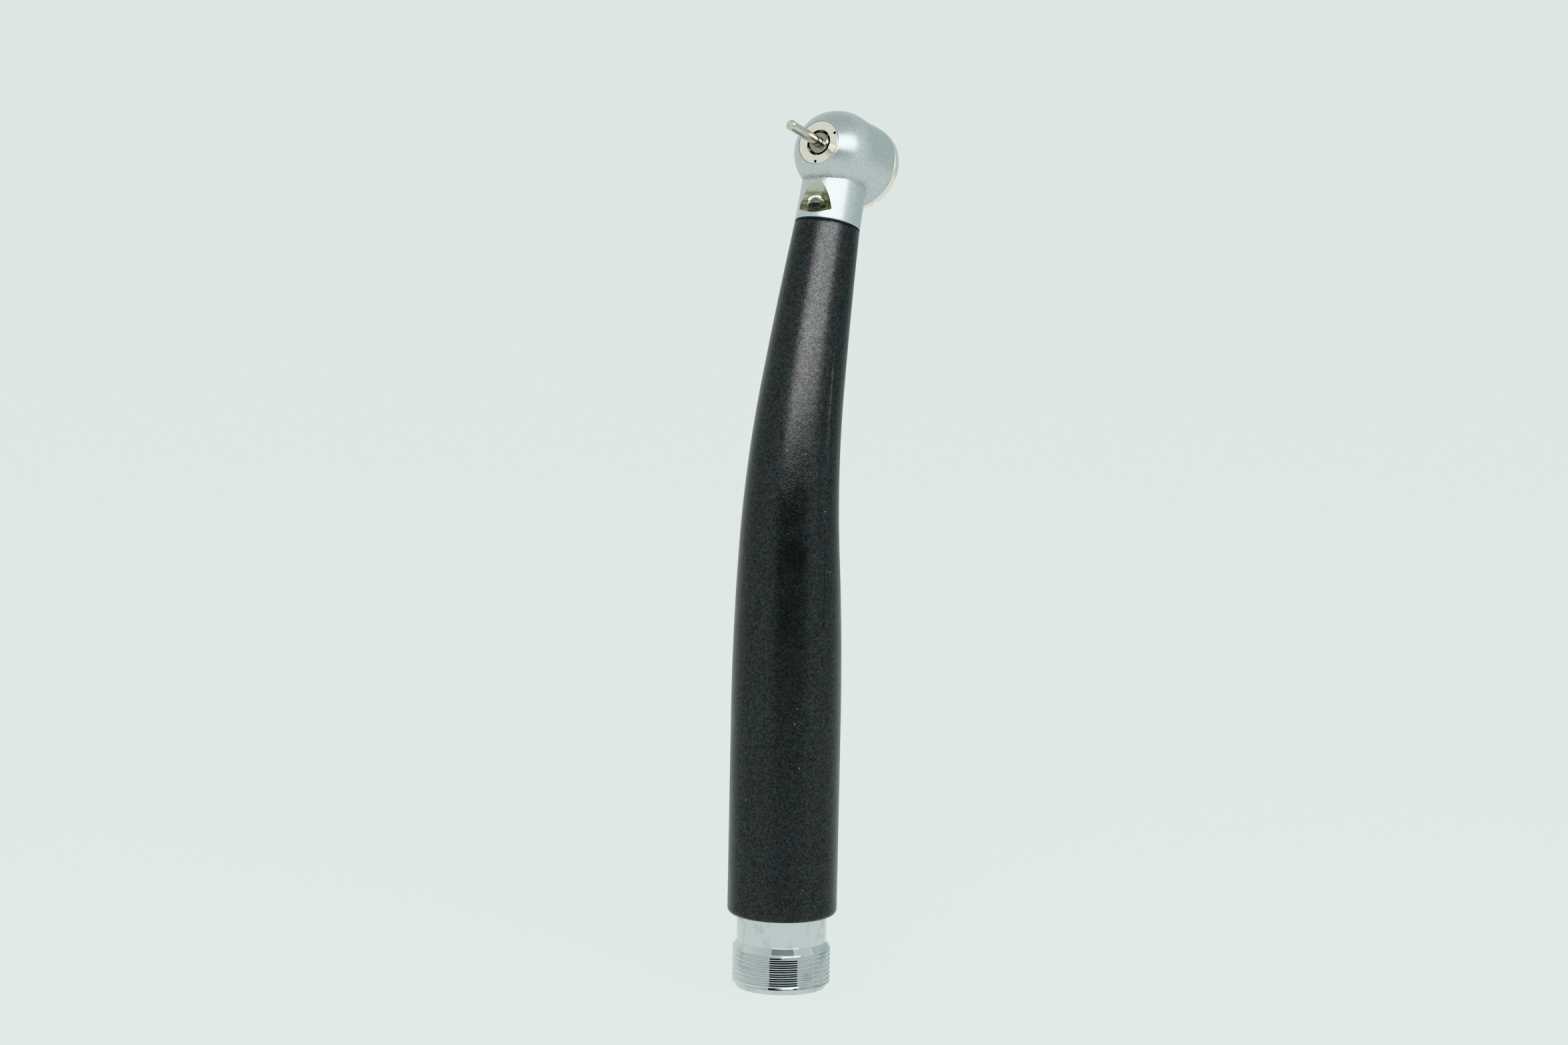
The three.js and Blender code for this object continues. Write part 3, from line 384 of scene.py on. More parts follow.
def piece(obj, finish, body, slot, *replaced):
    """Dresses a finished object, rides it on its body and hides the CAD nodes that it stands for."""
    obj.data.materials.clear()
    for material in finish if isinstance(finish, list) else [finish]:
        obj.data.materials.append(material)
    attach(obj, body)
    if replaced:
        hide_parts(*replaced)
    return obj


# ------------------------------------------------------------------ camera

VIEW_AZIMUTH = math.radians(-57.77)
VIEW_DISTANCE = 450
VIEW_HEIGHT = 110.8  # above the rim
VIEW_PITCH = math.radians(4.919)
VIEW_ROLL = math.radians(1.142)
VIEW_OFFSET = -0.8775  # sideways, so that the handle's foot stands left of the middle
VIEW_LENS = 67.65
VIEW_SENSOR = 36


def make_camera():
    look = Vector(
        (
            -math.sin(VIEW_AZIMUTH) * math.cos(VIEW_PITCH),
            math.cos(VIEW_AZIMUTH) * math.cos(VIEW_PITCH),
            -math.sin(VIEW_PITCH),
        )
    )
    level = Vector((math.cos(VIEW_AZIMUTH), math.sin(VIEW_AZIMUTH), 0))
    upright = level.cross(look)
    right = math.cos(VIEW_ROLL) * level + math.sin(VIEW_ROLL) * upright
    up = math.cos(VIEW_ROLL) * upright - math.sin(VIEW_ROLL) * level
    data = bpy.data.cameras.new("camera")
    data.sensor_width = VIEW_SENSOR
    data.lens = VIEW_LENS
    camera = bpy.data.objects.new("camera", data)
    place = Vector((math.sin(VIEW_AZIMUTH), -math.cos(VIEW_AZIMUTH), 0)) * VIEW_DISTANCE
    place += Vector((0, 0, RIM + VIEW_HEIGHT)) + level * VIEW_OFFSET
    matrix = Matrix((right, up, -look)).transposed().to_4x4()
    matrix.translation = place * MM
    camera.matrix_world = matrix
    bpy.context.scene.collection.objects.link(camera)
    bpy.context.scene.camera = camera


make_camera()

# ------------------------------------------------------------------ node helpers


class Finish:
    """Builds one procedural material around a Principled shader."""

    def __init__(self, name, colour, metallic, roughness, **sockets):
        self.material = bpy.data.materials.new(name)
        self.material.use_nodes = True
        self.tree = self.material.node_tree
        self.shader = self.tree.nodes["Principled BSDF"]
        self.shader.inputs["Base Color"].default_value = (*colour, 1)
        self.shader.inputs["Metallic"].default_value = metallic
        self.shader.inputs["Roughness"].default_value = roughness
        for socket, value in sockets.items():
            self.shader.inputs[socket.replace("_", " ")].default_value = value
        self.place = self.tree.nodes.new("ShaderNodeTexCoord").outputs["Object"]
        self.height = None

    def link(self, source, target):
        self.tree.links.new(source, target)

    def stretched(self, scale, turn=(0, 0, 0)):
        """The object's coordinates, scaled per axis and turned."""
        mapping = self.tree.nodes.new("ShaderNodeMapping")
        self.link(self.place, mapping.inputs["Vector"])
        mapping.inputs["Scale"].default_value = scale
        mapping.inputs["Rotation"].default_value = turn
        return mapping.outputs["Vector"]

    def noise(self, size, detail=3, vector=None):
        """Cloudy noise whose lumps are about size millimetres."""
        made = self.tree.nodes.new("ShaderNodeTexNoise")
        made.inputs["Scale"].default_value = 1 / (size * MM)
        made.inputs["Detail"].default_value = detail
        self.link(vector or self.place, made.inputs["Vector"])
        return made.outputs["Fac"]

    def cells(self, size, output="Distance", vector=None):
        """Random cells about size millimetres across."""
        made = self.tree.nodes.new("ShaderNodeTexVoronoi")
        made.inputs["Scale"].default_value = 1 / (size * MM)
        self.link(vector or self.place, made.inputs["Vector"])
        return made.outputs[output]

    def remap(self, value, low, high, to_low=0, to_high=1):
        """The value stretched from one range to another, and held within it."""
        made = self.tree.nodes.new("ShaderNodeMapRange")
        self.link(value, made.inputs["Value"])
        made.inputs["From Min"].default_value = low
        made.inputs["From Max"].default_value = high
        made.inputs["To Min"].default_value = to_low
        made.inputs["To Max"].default_value = to_high
        return made.outputs["Result"]

    def math(self, operation, a, b=0.0):
        made = self.tree.nodes.new("ShaderNodeMath")
        made.operation = operation
        for socket, value in zip(made.inputs, (a, b)):
            if isinstance(value, (int, float)):
                socket.default_value = value
            else:
                self.link(value, socket)
        return made.outputs["Value"]

    def mix(self, share, a, b):
        """Mixes two colours, or two sockets, by a share."""
        made = self.tree.nodes.new("ShaderNodeMix")
        made.data_type = "RGBA"
        self.link(share, made.inputs["Factor"])
        for socket, value in ((made.inputs[6], a), (made.inputs[7], b)):
            if isinstance(value, tuple):
                socket.default_value = (*value, 1)
            else:
                self.link(value, socket)
        return made.outputs[2]

    def bump(self, height, depth, strength=1.0):
        """Adds relief depth millimetres deep on top of what is there."""
        made = self.tree.nodes.new("ShaderNodeBump")
        made.inputs["Distance"].default_value = depth * MM
        made.inputs["Strength"].default_value = strength
        self.link(height, made.inputs["Height"])
        if self.height is not None:
            self.link(self.height, made.inputs["Normal"])
        self.height = made.outputs["Normal"]
        self.link(self.height, self.shader.inputs["Normal"])

    def drive(self, socket, value):
        self.link(value, self.shader.inputs[socket])

    def attribute(self, name):
        made = self.tree.nodes.new("ShaderNodeAttribute")
        made.attribute_name = name
        return made.outputs["Fac"]


def scratches(finish, size, density):
    """A mask of short hairlines: stretched noise, kept only at its thin crests."""
    lines = finish.noise(size, 2, finish.stretched((1, 1, 0.08), (0.5, 0.9, 0.3)))
    thin = finish.remap(finish.math("ABSOLUTE", finish.math("SUBTRACT", lines, 0.5)), 0, 0.004, 1, 0)
    where = finish.remap(finish.noise(size * 6, 2), density, density + 0.06)
    return finish.math("MULTIPLY", thin, where)


# ------------------------------------------------------------------ finishes


def plain_metal(name, colour, roughness, grain=0.15, relief=0.004, wear=0.1):
    """A machined metal with cloudy roughness and a fine grain."""
    finish = Finish(name, colour, 1, roughness)
    cloud = finish.noise(2.5, 4)
    finish.drive("Roughness", finish.remap(cloud, 0.3, 0.7, roughness - wear / 2, roughness + wear / 2))
    dark = tuple(c * 0.82 for c in colour)
    finish.drive("Base Color", finish.mix(finish.remap(finish.noise(1.1, 5), 0.35, 0.7), colour, dark))
    finish.bump(finish.noise(grain, 2), relief)
    return finish.material


def turned_metal(name, colour, roughness, axis_turn, relief=0.003):
    """A metal with the fine rings that a lathe leaves about its axis."""
    finish = Finish(name, colour, 1, roughness)
    rings = finish.tree.nodes.new("ShaderNodeTexWave")
    rings.wave_type = "RINGS"
    rings.rings_direction = "Z"
    rings.inputs["Scale"].default_value = 2500
    rings.inputs["Distortion"].default_value = 1.5
    finish.link(finish.stretched((1, 1, 1), axis_turn), rings.inputs["Vector"])
    finish.bump(rings.outputs["Fac"], relief)
    cloud = finish.noise(1.5, 4)
    finish.drive("Roughness", finish.remap(cloud, 0.3, 0.7, roughness * 0.7, roughness * 1.5))
    dark = tuple(c * 0.9 for c in colour)
    finish.drive("Base Color", finish.mix(finish.noise(0.8, 4), colour, dark))
    return finish.material


def satin_chrome_finish():
    """Blasted satin chrome, darkened brown and roughened along the seam between head and neck where the
    attribute says: painted crease shade, coloured as grime.
    """
    finish = Finish("satin_chrome", (0.74, 0.78, 0.78), 1, 0.35)
    grain = finish.noise(0.2, 2)
    cloud = finish.noise(3, 4)
    rough = finish.remap(cloud, 0.3, 0.7, 0.34, 0.40)
    speckle = finish.remap(finish.noise(0.35, 5), 0.3, 0.62, 0.15, 1)
    # painted shade in the head-neck seam, coloured and roughened as grime
    grime_and_shade = finish.math("MULTIPLY", finish.attribute("grime_and_shade"), speckle)
    bright = finish.remap(grain, 0.3, 0.7)
    clean_colour = finish.mix(bright, (0.50, 0.535, 0.545), (0.66, 0.70, 0.705))
    finish.drive("Base Color", finish.mix(grime_and_shade, clean_colour, (0.16, 0.125, 0.085)))
    finish.drive("Roughness", finish.math("ADD", rough, finish.math("MULTIPLY", grime_and_shade, 0.3)))
    finish.bump(grain, 0.012)
    finish.bump(scratches(finish, 0.9, 0.6), 0.002, 0.6)
    return finish.material


def window_finish():
    """The machined recess round the lens: olive and brown tarnish that thickens towards the lens."""
    finish = Finish("window_recess", (0.5, 0.48, 0.42), 1, 0.25)
    depth = finish.attribute("recess")
    cloud = finish.math("ADD", depth, finish.remap(finish.noise(0.8, 4), 0.3, 0.7, -0.25, 0.25))
    tint = finish.mix(finish.remap(cloud, 0, 1), (0.62, 0.625, 0.565), (0.50, 0.49, 0.385))
    finish.drive("Base Color", tint)
    finish.drive("Roughness", finish.remap(finish.noise(0.5, 3), 0.3, 0.7, 0.16, 0.34))
    finish.bump(finish.noise(0.1, 2), 0.004)
    return finish.material


def bright_chrome_finish():
    """Polished chrome with faint cloudy smudges."""
    finish = Finish("bright_chrome", (0.66, 0.69, 0.69), 1, 0.06)
    smudge = finish.remap(finish.noise(2.2, 6), 0.52, 0.68)
    finish.drive("Roughness", finish.remap(smudge, 0, 1, 0.05, 0.17))
    finish.drive("Base Color", finish.mix(smudge, (0.66, 0.69, 0.69), (0.55, 0.58, 0.585)))
    finish.bump(finish.noise(6, 2), 0.01, 0.5)
    finish.bump(scratches(finish, 0.7, 0.62), 0.0015, 0.5)
    return finish.material


def black_finish():
    """Near black satin coat whose fine grains glint red and blue, with dust and hairlines."""
    finish = Finish("black_anodised", (0.075, 0.077, 0.078), 1, 0.3)
    split = finish.tree.nodes.new("ShaderNodeSeparateColor")
    finish.link(finish.cells(0.23, "Color"), split.inputs["Color"])
    red = finish.mix(split.outputs["Red"], (0.112, 0.091, 0.089), (0.060, 0.051, 0.051))
    blue = finish.mix(split.outputs["Red"], (0.086, 0.108, 0.114), (0.046, 0.057, 0.059))
    tint = finish.mix(split.outputs["Green"], red, blue)
    speck = finish.remap(finish.cells(1.6), 0.055, 0.03)
    lucky = finish.remap(finish.noise(4, 2), 0.5, 0.53)
    dust = finish.math("MULTIPLY", speck, lucky)
    finish.drive("Base Color", finish.mix(dust, tint, (0.45, 0.47, 0.46)))
    finish.drive("Metallic", finish.math("SUBTRACT", 1.0, dust))
    rough = finish.remap(finish.noise(5, 4), 0.3, 0.7, 0.28, 0.34)
    finish.drive("Roughness", finish.math("ADD", rough, finish.math("MULTIPLY", dust, 0.4)))
    finish.bump(finish.noise(0.2, 2), 0.022)
    finish.bump(scratches(finish, 0.8, 0.6), 0.002, 0.8)
    return finish.material


def soft_finish(name, colour, roughness, grain=0.12, relief=0.01, dusty=(0.25, 0.26, 0.25)):
    """A rubber or moulded plastic: fine grain, with a little dust in its colour."""
    finish = Finish(name, colour, 0, roughness)
    dust = finish.remap(finish.noise(0.6, 5), 0.58, 0.75, 0, 0.35)
    finish.drive("Base Color", finish.mix(dust, colour, dusty))
    cloud = finish.noise(1.2, 3)
    finish.drive("Roughness", finish.remap(cloud, 0.3, 0.7, roughness - 0.08, roughness + 0.08))
    finish.bump(finish.noise(grain, 3), relief)
    return finish.material


def winding_finish():
    """Enamelled copper wire, wound in fine turns."""
    finish = Finish("copper_winding", (0.72, 0.33, 0.16), 1, 0.35, Coat_Weight=0.6)
    turns = finish.tree.nodes.new("ShaderNodeTexWave")
    turns.bands_direction = "Z"
    turns.inputs["Scale"].default_value = 1800
    turns.inputs["Distortion"].default_value = 0.6
    finish.link(finish.place, turns.inputs["Vector"])
    finish.bump(turns.outputs["Fac"], 0.05)
    finish.drive("Base Color", finish.mix(finish.noise(0.8, 3), (0.72, 0.33, 0.16), (0.45, 0.16, 0.07)))
    return finish.material


def core_finish():
    """Stacked iron sheets."""
    finish = Finish("iron_core", (0.22, 0.22, 0.23), 0.7, 0.5)
    sheets = finish.tree.nodes.new("ShaderNodeTexWave")
    sheets.bands_direction = "Z"
    sheets.inputs["Scale"].default_value = 900
    finish.link(finish.place, sheets.inputs["Vector"])
    finish.bump(sheets.outputs["Fac"], 0.03)
    finish.drive("Roughness", finish.remap(finish.noise(0.5, 4), 0.3, 0.7, 0.4, 0.65))
    return finish.material


def glass_finish():
    """Clear moulded glass with a faint ripple."""
    finish = Finish("lens_glass", (0.55, 0.56, 0.51), 0, 0.02, IOR=1.5, Transmission_Weight=1.0)
    finish.drive("Roughness", finish.remap(finish.noise(0.9, 3), 0.4, 0.7, 0.01, 0.05))
    finish.bump(finish.noise(1.2, 2), 0.004)
    return finish.material


def phosphor_finish():
    """The light's yellow phosphor in its gilt cup."""
    finish = Finish("phosphor", (0.75, 0.62, 0.08), 0, 0.5)
    grains = finish.remap(finish.noise(0.15, 4), 0.3, 0.7)
    finish.drive("Base Color", finish.mix(grains, (0.80, 0.70, 0.12), (0.55, 0.36, 0.05)))
    finish.bump(finish.noise(0.08, 2), 0.01)
    return finish.material


ACROSS_HEAD = (0, math.pi / 2 + LEAN, 0)

satin_chrome = satin_chrome_finish()
window_recess = window_finish()
bright_chrome = bright_chrome_finish()
black_anodised = black_finish()
warm_nickel = turned_metal("warm_nickel", (0.90, 0.85, 0.765), 0.12, ACROSS_HEAD)
tool_steel = plain_metal("tool_steel", (0.41, 0.395, 0.36), 0.24)
steel = plain_metal("steel", (0.62, 0.63, 0.63), 0.28)
bur_steel = plain_metal("bur_steel", (0.69, 0.67, 0.62), 0.2, grain=0.1, relief=0.003)
brass = plain_metal("brass", (0.70, 0.52, 0.24), 0.28)
gilt = plain_metal("gilt", (0.50, 0.43, 0.22), 0.42, grain=0.1)
copper_winding = winding_finish()
iron_core = core_finish()
magnet = plain_metal("magnet", (0.30, 0.31, 0.33), 0.42, grain=0.1, relief=0.006)
dark_seal = soft_finish("dark_seal", (0.008, 0.014, 0.035), 0.45)
rubber_black = soft_finish("rubber_black", (0.012, 0.012, 0.012), 0.65)
rubber_grey = soft_finish("rubber_grey", (0.10, 0.11, 0.115), 0.7, dusty=(0.3, 0.3, 0.3))
cage_plastic = soft_finish("cage_plastic", (0.20, 0.09, 0.03), 0.5, dusty=(0.3, 0.2, 0.1))
impeller_black = soft_finish("impeller_black", (0.02, 0.02, 0.022), 0.4)
ceramic_ball = soft_finish("ceramic_ball", (0.75, 0.73, 0.68), 0.15, relief=0.001, dusty=(0.6, 0.58, 0.52))
board_green = soft_finish("board_green", (0.03, 0.16, 0.06), 0.4, dusty=(0.10, 0.25, 0.12))
wire_red = soft_finish("wire_red", (0.45, 0.03, 0.02), 0.45, dusty=(0.5, 0.15, 0.12))
wire_black = soft_finish("wire_black", (0.02, 0.02, 0.02), 0.45)
lens_glass = glass_finish()
phosphor = phosphor_finish()

RACES = [f"{end}_bearing_{race}" for end in ("front", "rear") for race in ("outer", "inner")]
BALLS = [f"{end}_ball_{number}" for end in ("front", "rear") for number in range(1, 8)]

CAD_FINISHES = [
    (steel, ["generator_housing", "generator_outlet_cap", "generator_shaft"]),
    (steel, ["water_tube", "chip_air_tube", "preload_washer", "button_spring", *RACES]),
    (brass, ["generator_rear_bush", "generator_front_bush", "generator_vane"]),
    (brass, ["drive_air_tube", "water_check_valve"]),
    (copper_winding, ["stator_coil"]),
    (iron_core, ["stator_core"]),
    (magnet, ["magnet_rotor"]),
    (board_green, ["led_board"]),
    (wire_red, ["led_lead_positive"]),
    (wire_black, ["led_lead_negative"]),
    (cage_plastic, ["front_cage", "rear_cage"]),
    (rubber_black, ["front_o_ring", "rear_o_ring", "connector_o_ring"]),
    (impeller_black, ["impeller"]),
    (tool_steel, ["chuck_collet"]),
    (ceramic_ball, BALLS),
]

for finish, names in CAD_FINISHES:
    for name in names:
        for material_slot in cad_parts[name].material_slots:
            material_slot.material = finish

# ------------------------------------------------------------------ grip sleeve


def grip_radius(station):
    into_blend = station - (TAPER_START - GRIP_BLEND)
    if into_blend <= 0:
        return GRIP_RADIUS
    if into_blend >= 2 * GRIP_BLEND:
        return NECK_RADIUS + GRIP_TAPER * (SLEEVE_END - station)
    return GRIP_RADIUS - GRIP_TAPER * into_blend**2 / (4 * GRIP_BLEND)


def flute_depth(angle, station):
    """How deep the lens-shaped flutes cut at a place on the sleeve."""
    along = (station - FLUTE_START - FLUTE_LENGTH / 2) / (FLUTE_LENGTH / 2)
    if abs(along) >= 1:
        return 0
    taper = 1 - along**2
    for i in range(FLUTE_COUNT):
        middle = (i - (FLUTE_COUNT - 1) / 2) * FLUTE_PITCH
        off = math.remainder(angle - middle, 2 * math.pi)
        across = grip_radius(station) * off / (taper * FLUTE_WIDTH / 2)
        if abs(across) < 1:
            return FLUTE_DEPTH * taper * (1 - across**2)
    return 0


def make_sleeve():
    sides = 400
    corner_end = SLEEVE_START + GRIP_CORNER
    outside = []
    for i in range(9):
        turn = math.pi / 2 * i / 8
        radius = GRIP_RADIUS - GRIP_CORNER * (1 - math.sin(turn))
        outside.append((radius, SLEEVE_START + GRIP_CORNER * (1 - math.cos(turn))))
    outside += [(grip_radius(s), s) for s in spread(corner_end, SLEEVE_END - 0.12, 0.5)[1:]]
    outside += [(NECK_RADIUS - 0.02, SLEEVE_END - 0.04), (NECK_RADIUS - 0.08, SLEEVE_END)]
    socket_start = SLEEVE_END - SOCKET_LENGTH
    socket = [(TAIL_RADIUS + FIT_GAP, s) for s in spread(SLEEVE_END, socket_start, 3)]
    hollow_start = CONNECTOR_LENGTH + 1
    hollow_end = socket_start - SOCKET_SLOPE
    hollow = [(grip_radius(s) - SLEEVE_WALL, s) for s in spread(hollow_end, hollow_start, 4)]
    rear = [(COLLAR_RADIUS + FIT_GAP, CONNECTOR_LENGTH + 0.2), (COLLAR_RADIUS + FIT_GAP, SLEEVE_START)]
    points, faces = lathe(outside + socket + hollow + rear, sides)
    shaped = []
    for index, (x, y, z) in enumerate(points):
        if index < len(outside) * sides:
            angle = math.atan2(y, x)
            radius = math.hypot(x, y)
            share = 1 - flute_depth(angle, z) / radius
            x, y = x * share, y * share
        shaped.append(in_handle((x, y, z)))
    sleeve = mesh_object("sleeve", (shaped, faces))
    piece(sleeve, black_anodised, "handpiece", "black_anodised", "grip_sleeve")


make_sleeve()


def make_seal():
    start = SLEEVE_END + FACE_GAP
    end = NECK_START - FACE_GAP
    inside = TAIL_RADIUS + FIT_GAP
    corners = [(inside, start, 0), (NECK_RADIUS, start, 0.05), (NECK_RADIUS, end, 0.05), (inside, end, 0)]
    seal = mesh_object("seal", moved(lathe(rounded(corners), 200), in_handle))
    piece(seal, dark_seal, "handpiece", "dark_seal", "neck_seal_ring")


make_seal()

# ------------------------------------------------------------------ head, neck and light window

WINDOW_FLOOR = Vector((-NECK_RADIUS, 0, NECK_START + WINDOW_RISE))
LENS_AXIS = Vector((-math.sin(LED_TILT), 0, math.cos(LED_TILT)))
LENS_SEAT = WINDOW_FLOOR + Vector((math.cos(LED_TILT), 0, math.sin(LED_TILT))) * (LED_RADIUS + 0.2)


def beside_axis(shape, at):
    """A shape made about +Z, shifted sideways from the handle's axis and bent along it."""
    return moved(shape, lambda p: in_handle((p[0] + at[0], p[1] + at[1], p[2])))


def along_lens(shape, origin):
    """A shape made about +Z, stood on the lens's axis at a place in the handle."""
    turn = Vector((0, 0, 1)).rotation_difference(LENS_AXIS)
    return moved(shape, lambda p: in_handle(turn @ Vector(p) + origin))


def head_outline():
    curve = smooth_curve(
        [
            (HEAD_NOSE_RADIUS, 0),
            (HEAD_RADIUS - 1.89, 1.06),
            (HEAD_RADIUS - 0.78, 2.64),
            (HEAD_RADIUS - 0.05, 4.75),
            (HEAD_RADIUS, 6.86),
            (HEAD_RADIUS + 0.01, 8.97),
            (HEAD_RADIUS + 0.15, 11.08),
            (CAP_RADIUS, SHELL_LENGTH),
        ],
        9,
    )
    nose = [(0, 0), (HEAD_NOSE_RADIUS - 0.1, 0), (HEAD_NOSE_RADIUS - 0.03, 0.015)]
    rim = [(HEAD_NOSE_RADIUS + 0.03, 0.05)]
    edge = [(HEAD_RADIUS + 0.165, SHELL_LENGTH - 0.05), (HEAD_RADIUS + 0.1, SHELL_LENGTH)]
    return nose + rim + curve[1:-1] + edge + [(0, SHELL_LENGTH)]


def neck_outline():
    top = HEAD_STATION - NECK_OVERLAP
    tail_start = SLEEVE_END - TAIL_LENGTH
    taper = (NECK_RADIUS - NECK_TOP_RADIUS) / (top - NECK_START)
    tail = [(TAIL_RADIUS, s) for s in spread(tail_start, NECK_START, 2)]
    lip = [(NECK_RADIUS - 0.07, NECK_START), (NECK_RADIUS - 0.02, NECK_START + 0.02)]
    neck = [(NECK_RADIUS - taper * (s - NECK_START), s) for s in spread(NECK_START + 0.07, top, 0.2)]
    return [(0, tail_start), *tail, *lip, *neck, (0, top)]


def head_cavity():
    return [
        (0, -1),
        (RING_RADIUS + FIT_GAP, -1),
        (RING_RADIUS + FIT_GAP, RING_THICKNESS + FACE_GAP),
        (BEARING_SEAT, RING_THICKNESS + FACE_GAP),
        (BEARING_SEAT, FRONT_GROOVE_START),
        (ORING_GROOVE, FRONT_GROOVE_START),
        (ORING_GROOVE, FRONT_GROOVE_START + ORING_GROOVE_WIDTH),
        (BEARING_SEAT, FRONT_GROOVE_START + ORING_GROOVE_WIDTH),
        (BEARING_SEAT, CHAMBER_START),
        (CHAMBER_RADIUS, CHAMBER_START),
        (CHAMBER_RADIUS, CHAMBER_END),
        (CAP_SCREW_RADIUS + FIT_GAP, CHAMBER_END),
        (CAP_SCREW_RADIUS + FIT_GAP, CAP_BACK),
        (0, CAP_BACK),
    ]


def make_head():
    neck_sides = 192
    head_sides = 224
    head = mesh_object("head", moved(lathe(neck_outline(), neck_sides), in_handle))
    combine(head, [moved(lathe(head_outline(), head_sides), in_head)], "UNION")
    passages = [
        beside_axis(cylinder(radius, NECK_START - 3, HEAD_STATION - PASSAGE_OVERLAP, 32), at)
        for at, radius in LINES_IN_NECK
    ]
    tail_bore = lathe(
        [(0, SLEEVE_END - TAIL_LENGTH - 1)]
        + [(TAIL_BORE, s) for s in spread(SLEEVE_END - TAIL_LENGTH - 1, NECK_START - 1, 3)]
        + [(0, NECK_START - 1)],
        64,
    )
    combine(
        head,
        [
            moved(lathe(head_cavity(), 96), in_head),
            moved(tail_bore, in_handle),
            *passages,
            along_lens(cylinder(WINDOW_RADIUS, 0, WINDOW_LENGTH, 128), WINDOW_FLOOR),
            along_lens(cylinder(LED_RADIUS + FIT_GAP, -LED_SEAT_DEPTH, 1, 64), LENS_SEAT),
            along_lens(cylinder(LED_RADIUS / 2, -LED_SEAT_DEPTH - 2.6, 0, 24), LENS_SEAT),
        ],
    )
    piece(head, [satin_chrome, window_recess], "handpiece", "satin_chrome", "head_shell")
    paint_head(head)


def paint_head(head):
    """Marks the recess's faces, and how strongly painted shade and grime darken the seam where the head
    meets the neck.
    """
    mesh = head.data
    grime_and_shade = mesh.attributes.new("grime_and_shade", "FLOAT", "POINT")
    recess = mesh.attributes.new("recess", "FLOAT", "POINT")
    floor = Vector(in_handle(WINDOW_FLOOR))
    tilt = LED_TILT - LEAN
    axis = Vector((-math.sin(tilt), 0, math.cos(tilt)))
    seat = Vector(in_handle(LENS_SEAT))
    to_head = HEAD.inverted()
    neck_axis = Vector((math.sin(LEAN), 0, math.cos(LEAN)))
    foot = Vector(in_handle((0, 0, NECK_START)))
    for vertex in mesh.vertices:
        place = vertex.co / MM
        in_frame = to_head @ place
        from_bur_axis = math.hypot(in_frame.x, in_frame.y)
        up_neck = place - foot
        from_neck_axis = (up_neck - up_neck.dot(neck_axis) * neck_axis).length
        off_neck = abs(from_neck_axis - NECK_TOP_RADIUS)
        off_head = abs(from_bur_axis - outline_radius(in_frame.z))
        below = in_frame.x < 0
        front = max(0.0, min(1.0, (GRIME_AND_SHADE_END - in_frame.z) / GRIME_AND_SHADE_FADE))
        thickness = GRIME_AND_SHADE_LEAST + (1 - GRIME_AND_SHADE_LEAST) * front
        near = max(0.0, 1 - (off_neck + off_head) / GRIME_AND_SHADE_REACH)
        # painted crease shade with grime, on the seam's underside, strongest towards the front
        grime_and_shade.data[vertex.index].value = near * thickness if below else 0.0
        recess.data[vertex.index].value = max(0.0, 1 - (place - seat).length / TARNISH_REACH)
    for face in mesh.polygons:
        centre = face.center / MM
        rise = (centre - floor).dot(axis)
        across = (centre - floor - rise * axis).length
        on_wall = abs(across - WINDOW_RADIUS) < 0.06 and -0.05 < rise < WINDOW_LENGTH
        on_floor = abs(rise) < 0.03 and across < WINDOW_RADIUS + 0.05
        if on_wall or on_floor:
            face.material_index = 1


HEAD_PROFILE = head_outline()


def outline_radius(height):
    """The head's radius at a distance behind its front face."""
    for (r0, z0), (r1, z1) in zip(HEAD_PROFILE[3:], HEAD_PROFILE[4:-1]):
        if z0 <= height <= z1:
            return r0 + (r1 - r0) * (height - z0) / max(z1 - z0, 1e-6)
    return HEAD_RADIUS


make_head()

# ------------------------------------------------------------------ lens


def make_lens():
    base = -LED_SEAT_DEPTH + FACE_GAP
    dome = []
    for turn in spread(0, math.pi / 2, 0.1)[:-1]:
        dome.append((LED_RADIUS * math.cos(turn), LED_PROUD + LED_RADIUS * math.sin(turn)))
    foot = -0.25
    profile = [(0, foot), (LED_RADIUS, foot), *dome, (0, LED_PROUD + LED_RADIUS)]
    lens = mesh_object("lens_dome", along_lens(lathe(profile, 96), LENS_SEAT))
    piece(lens, lens_glass, "handpiece", "lens_glass", "led_lens")
    cup_rim = foot - 0.05
    cup_floor = -0.75
    cup_corners = [
        (0, base, 0),
        (LED_RADIUS, base, 0.05),
        (LED_RADIUS, cup_rim, 0.04),
        (LED_RADIUS - 0.15, cup_rim, 0.03),
        (DIE_RADIUS, cup_floor, 0.05),
        (0, cup_floor, 0),
    ]
    cup = mesh_object("lens_cup", along_lens(lathe(rounded(cup_corners), 96), LENS_SEAT))
    piece(cup, gilt, "handpiece", "brass")
    die_edge = DIE_RADIUS - 0.05
    die_foot = cup_floor + 0.02
    die_corners = [(0, die_foot, 0), (die_edge, die_foot, 0.03), (die_edge, -0.55, 0.05), (0, -0.5, 0)]
    die = mesh_object("lens_die", along_lens(lathe(rounded(die_corners), 48), LENS_SEAT))
    piece(die, phosphor, "handpiece", "brass")


make_lens()

# ------------------------------------------------------------------ front ring, cap, button, spindle, bur


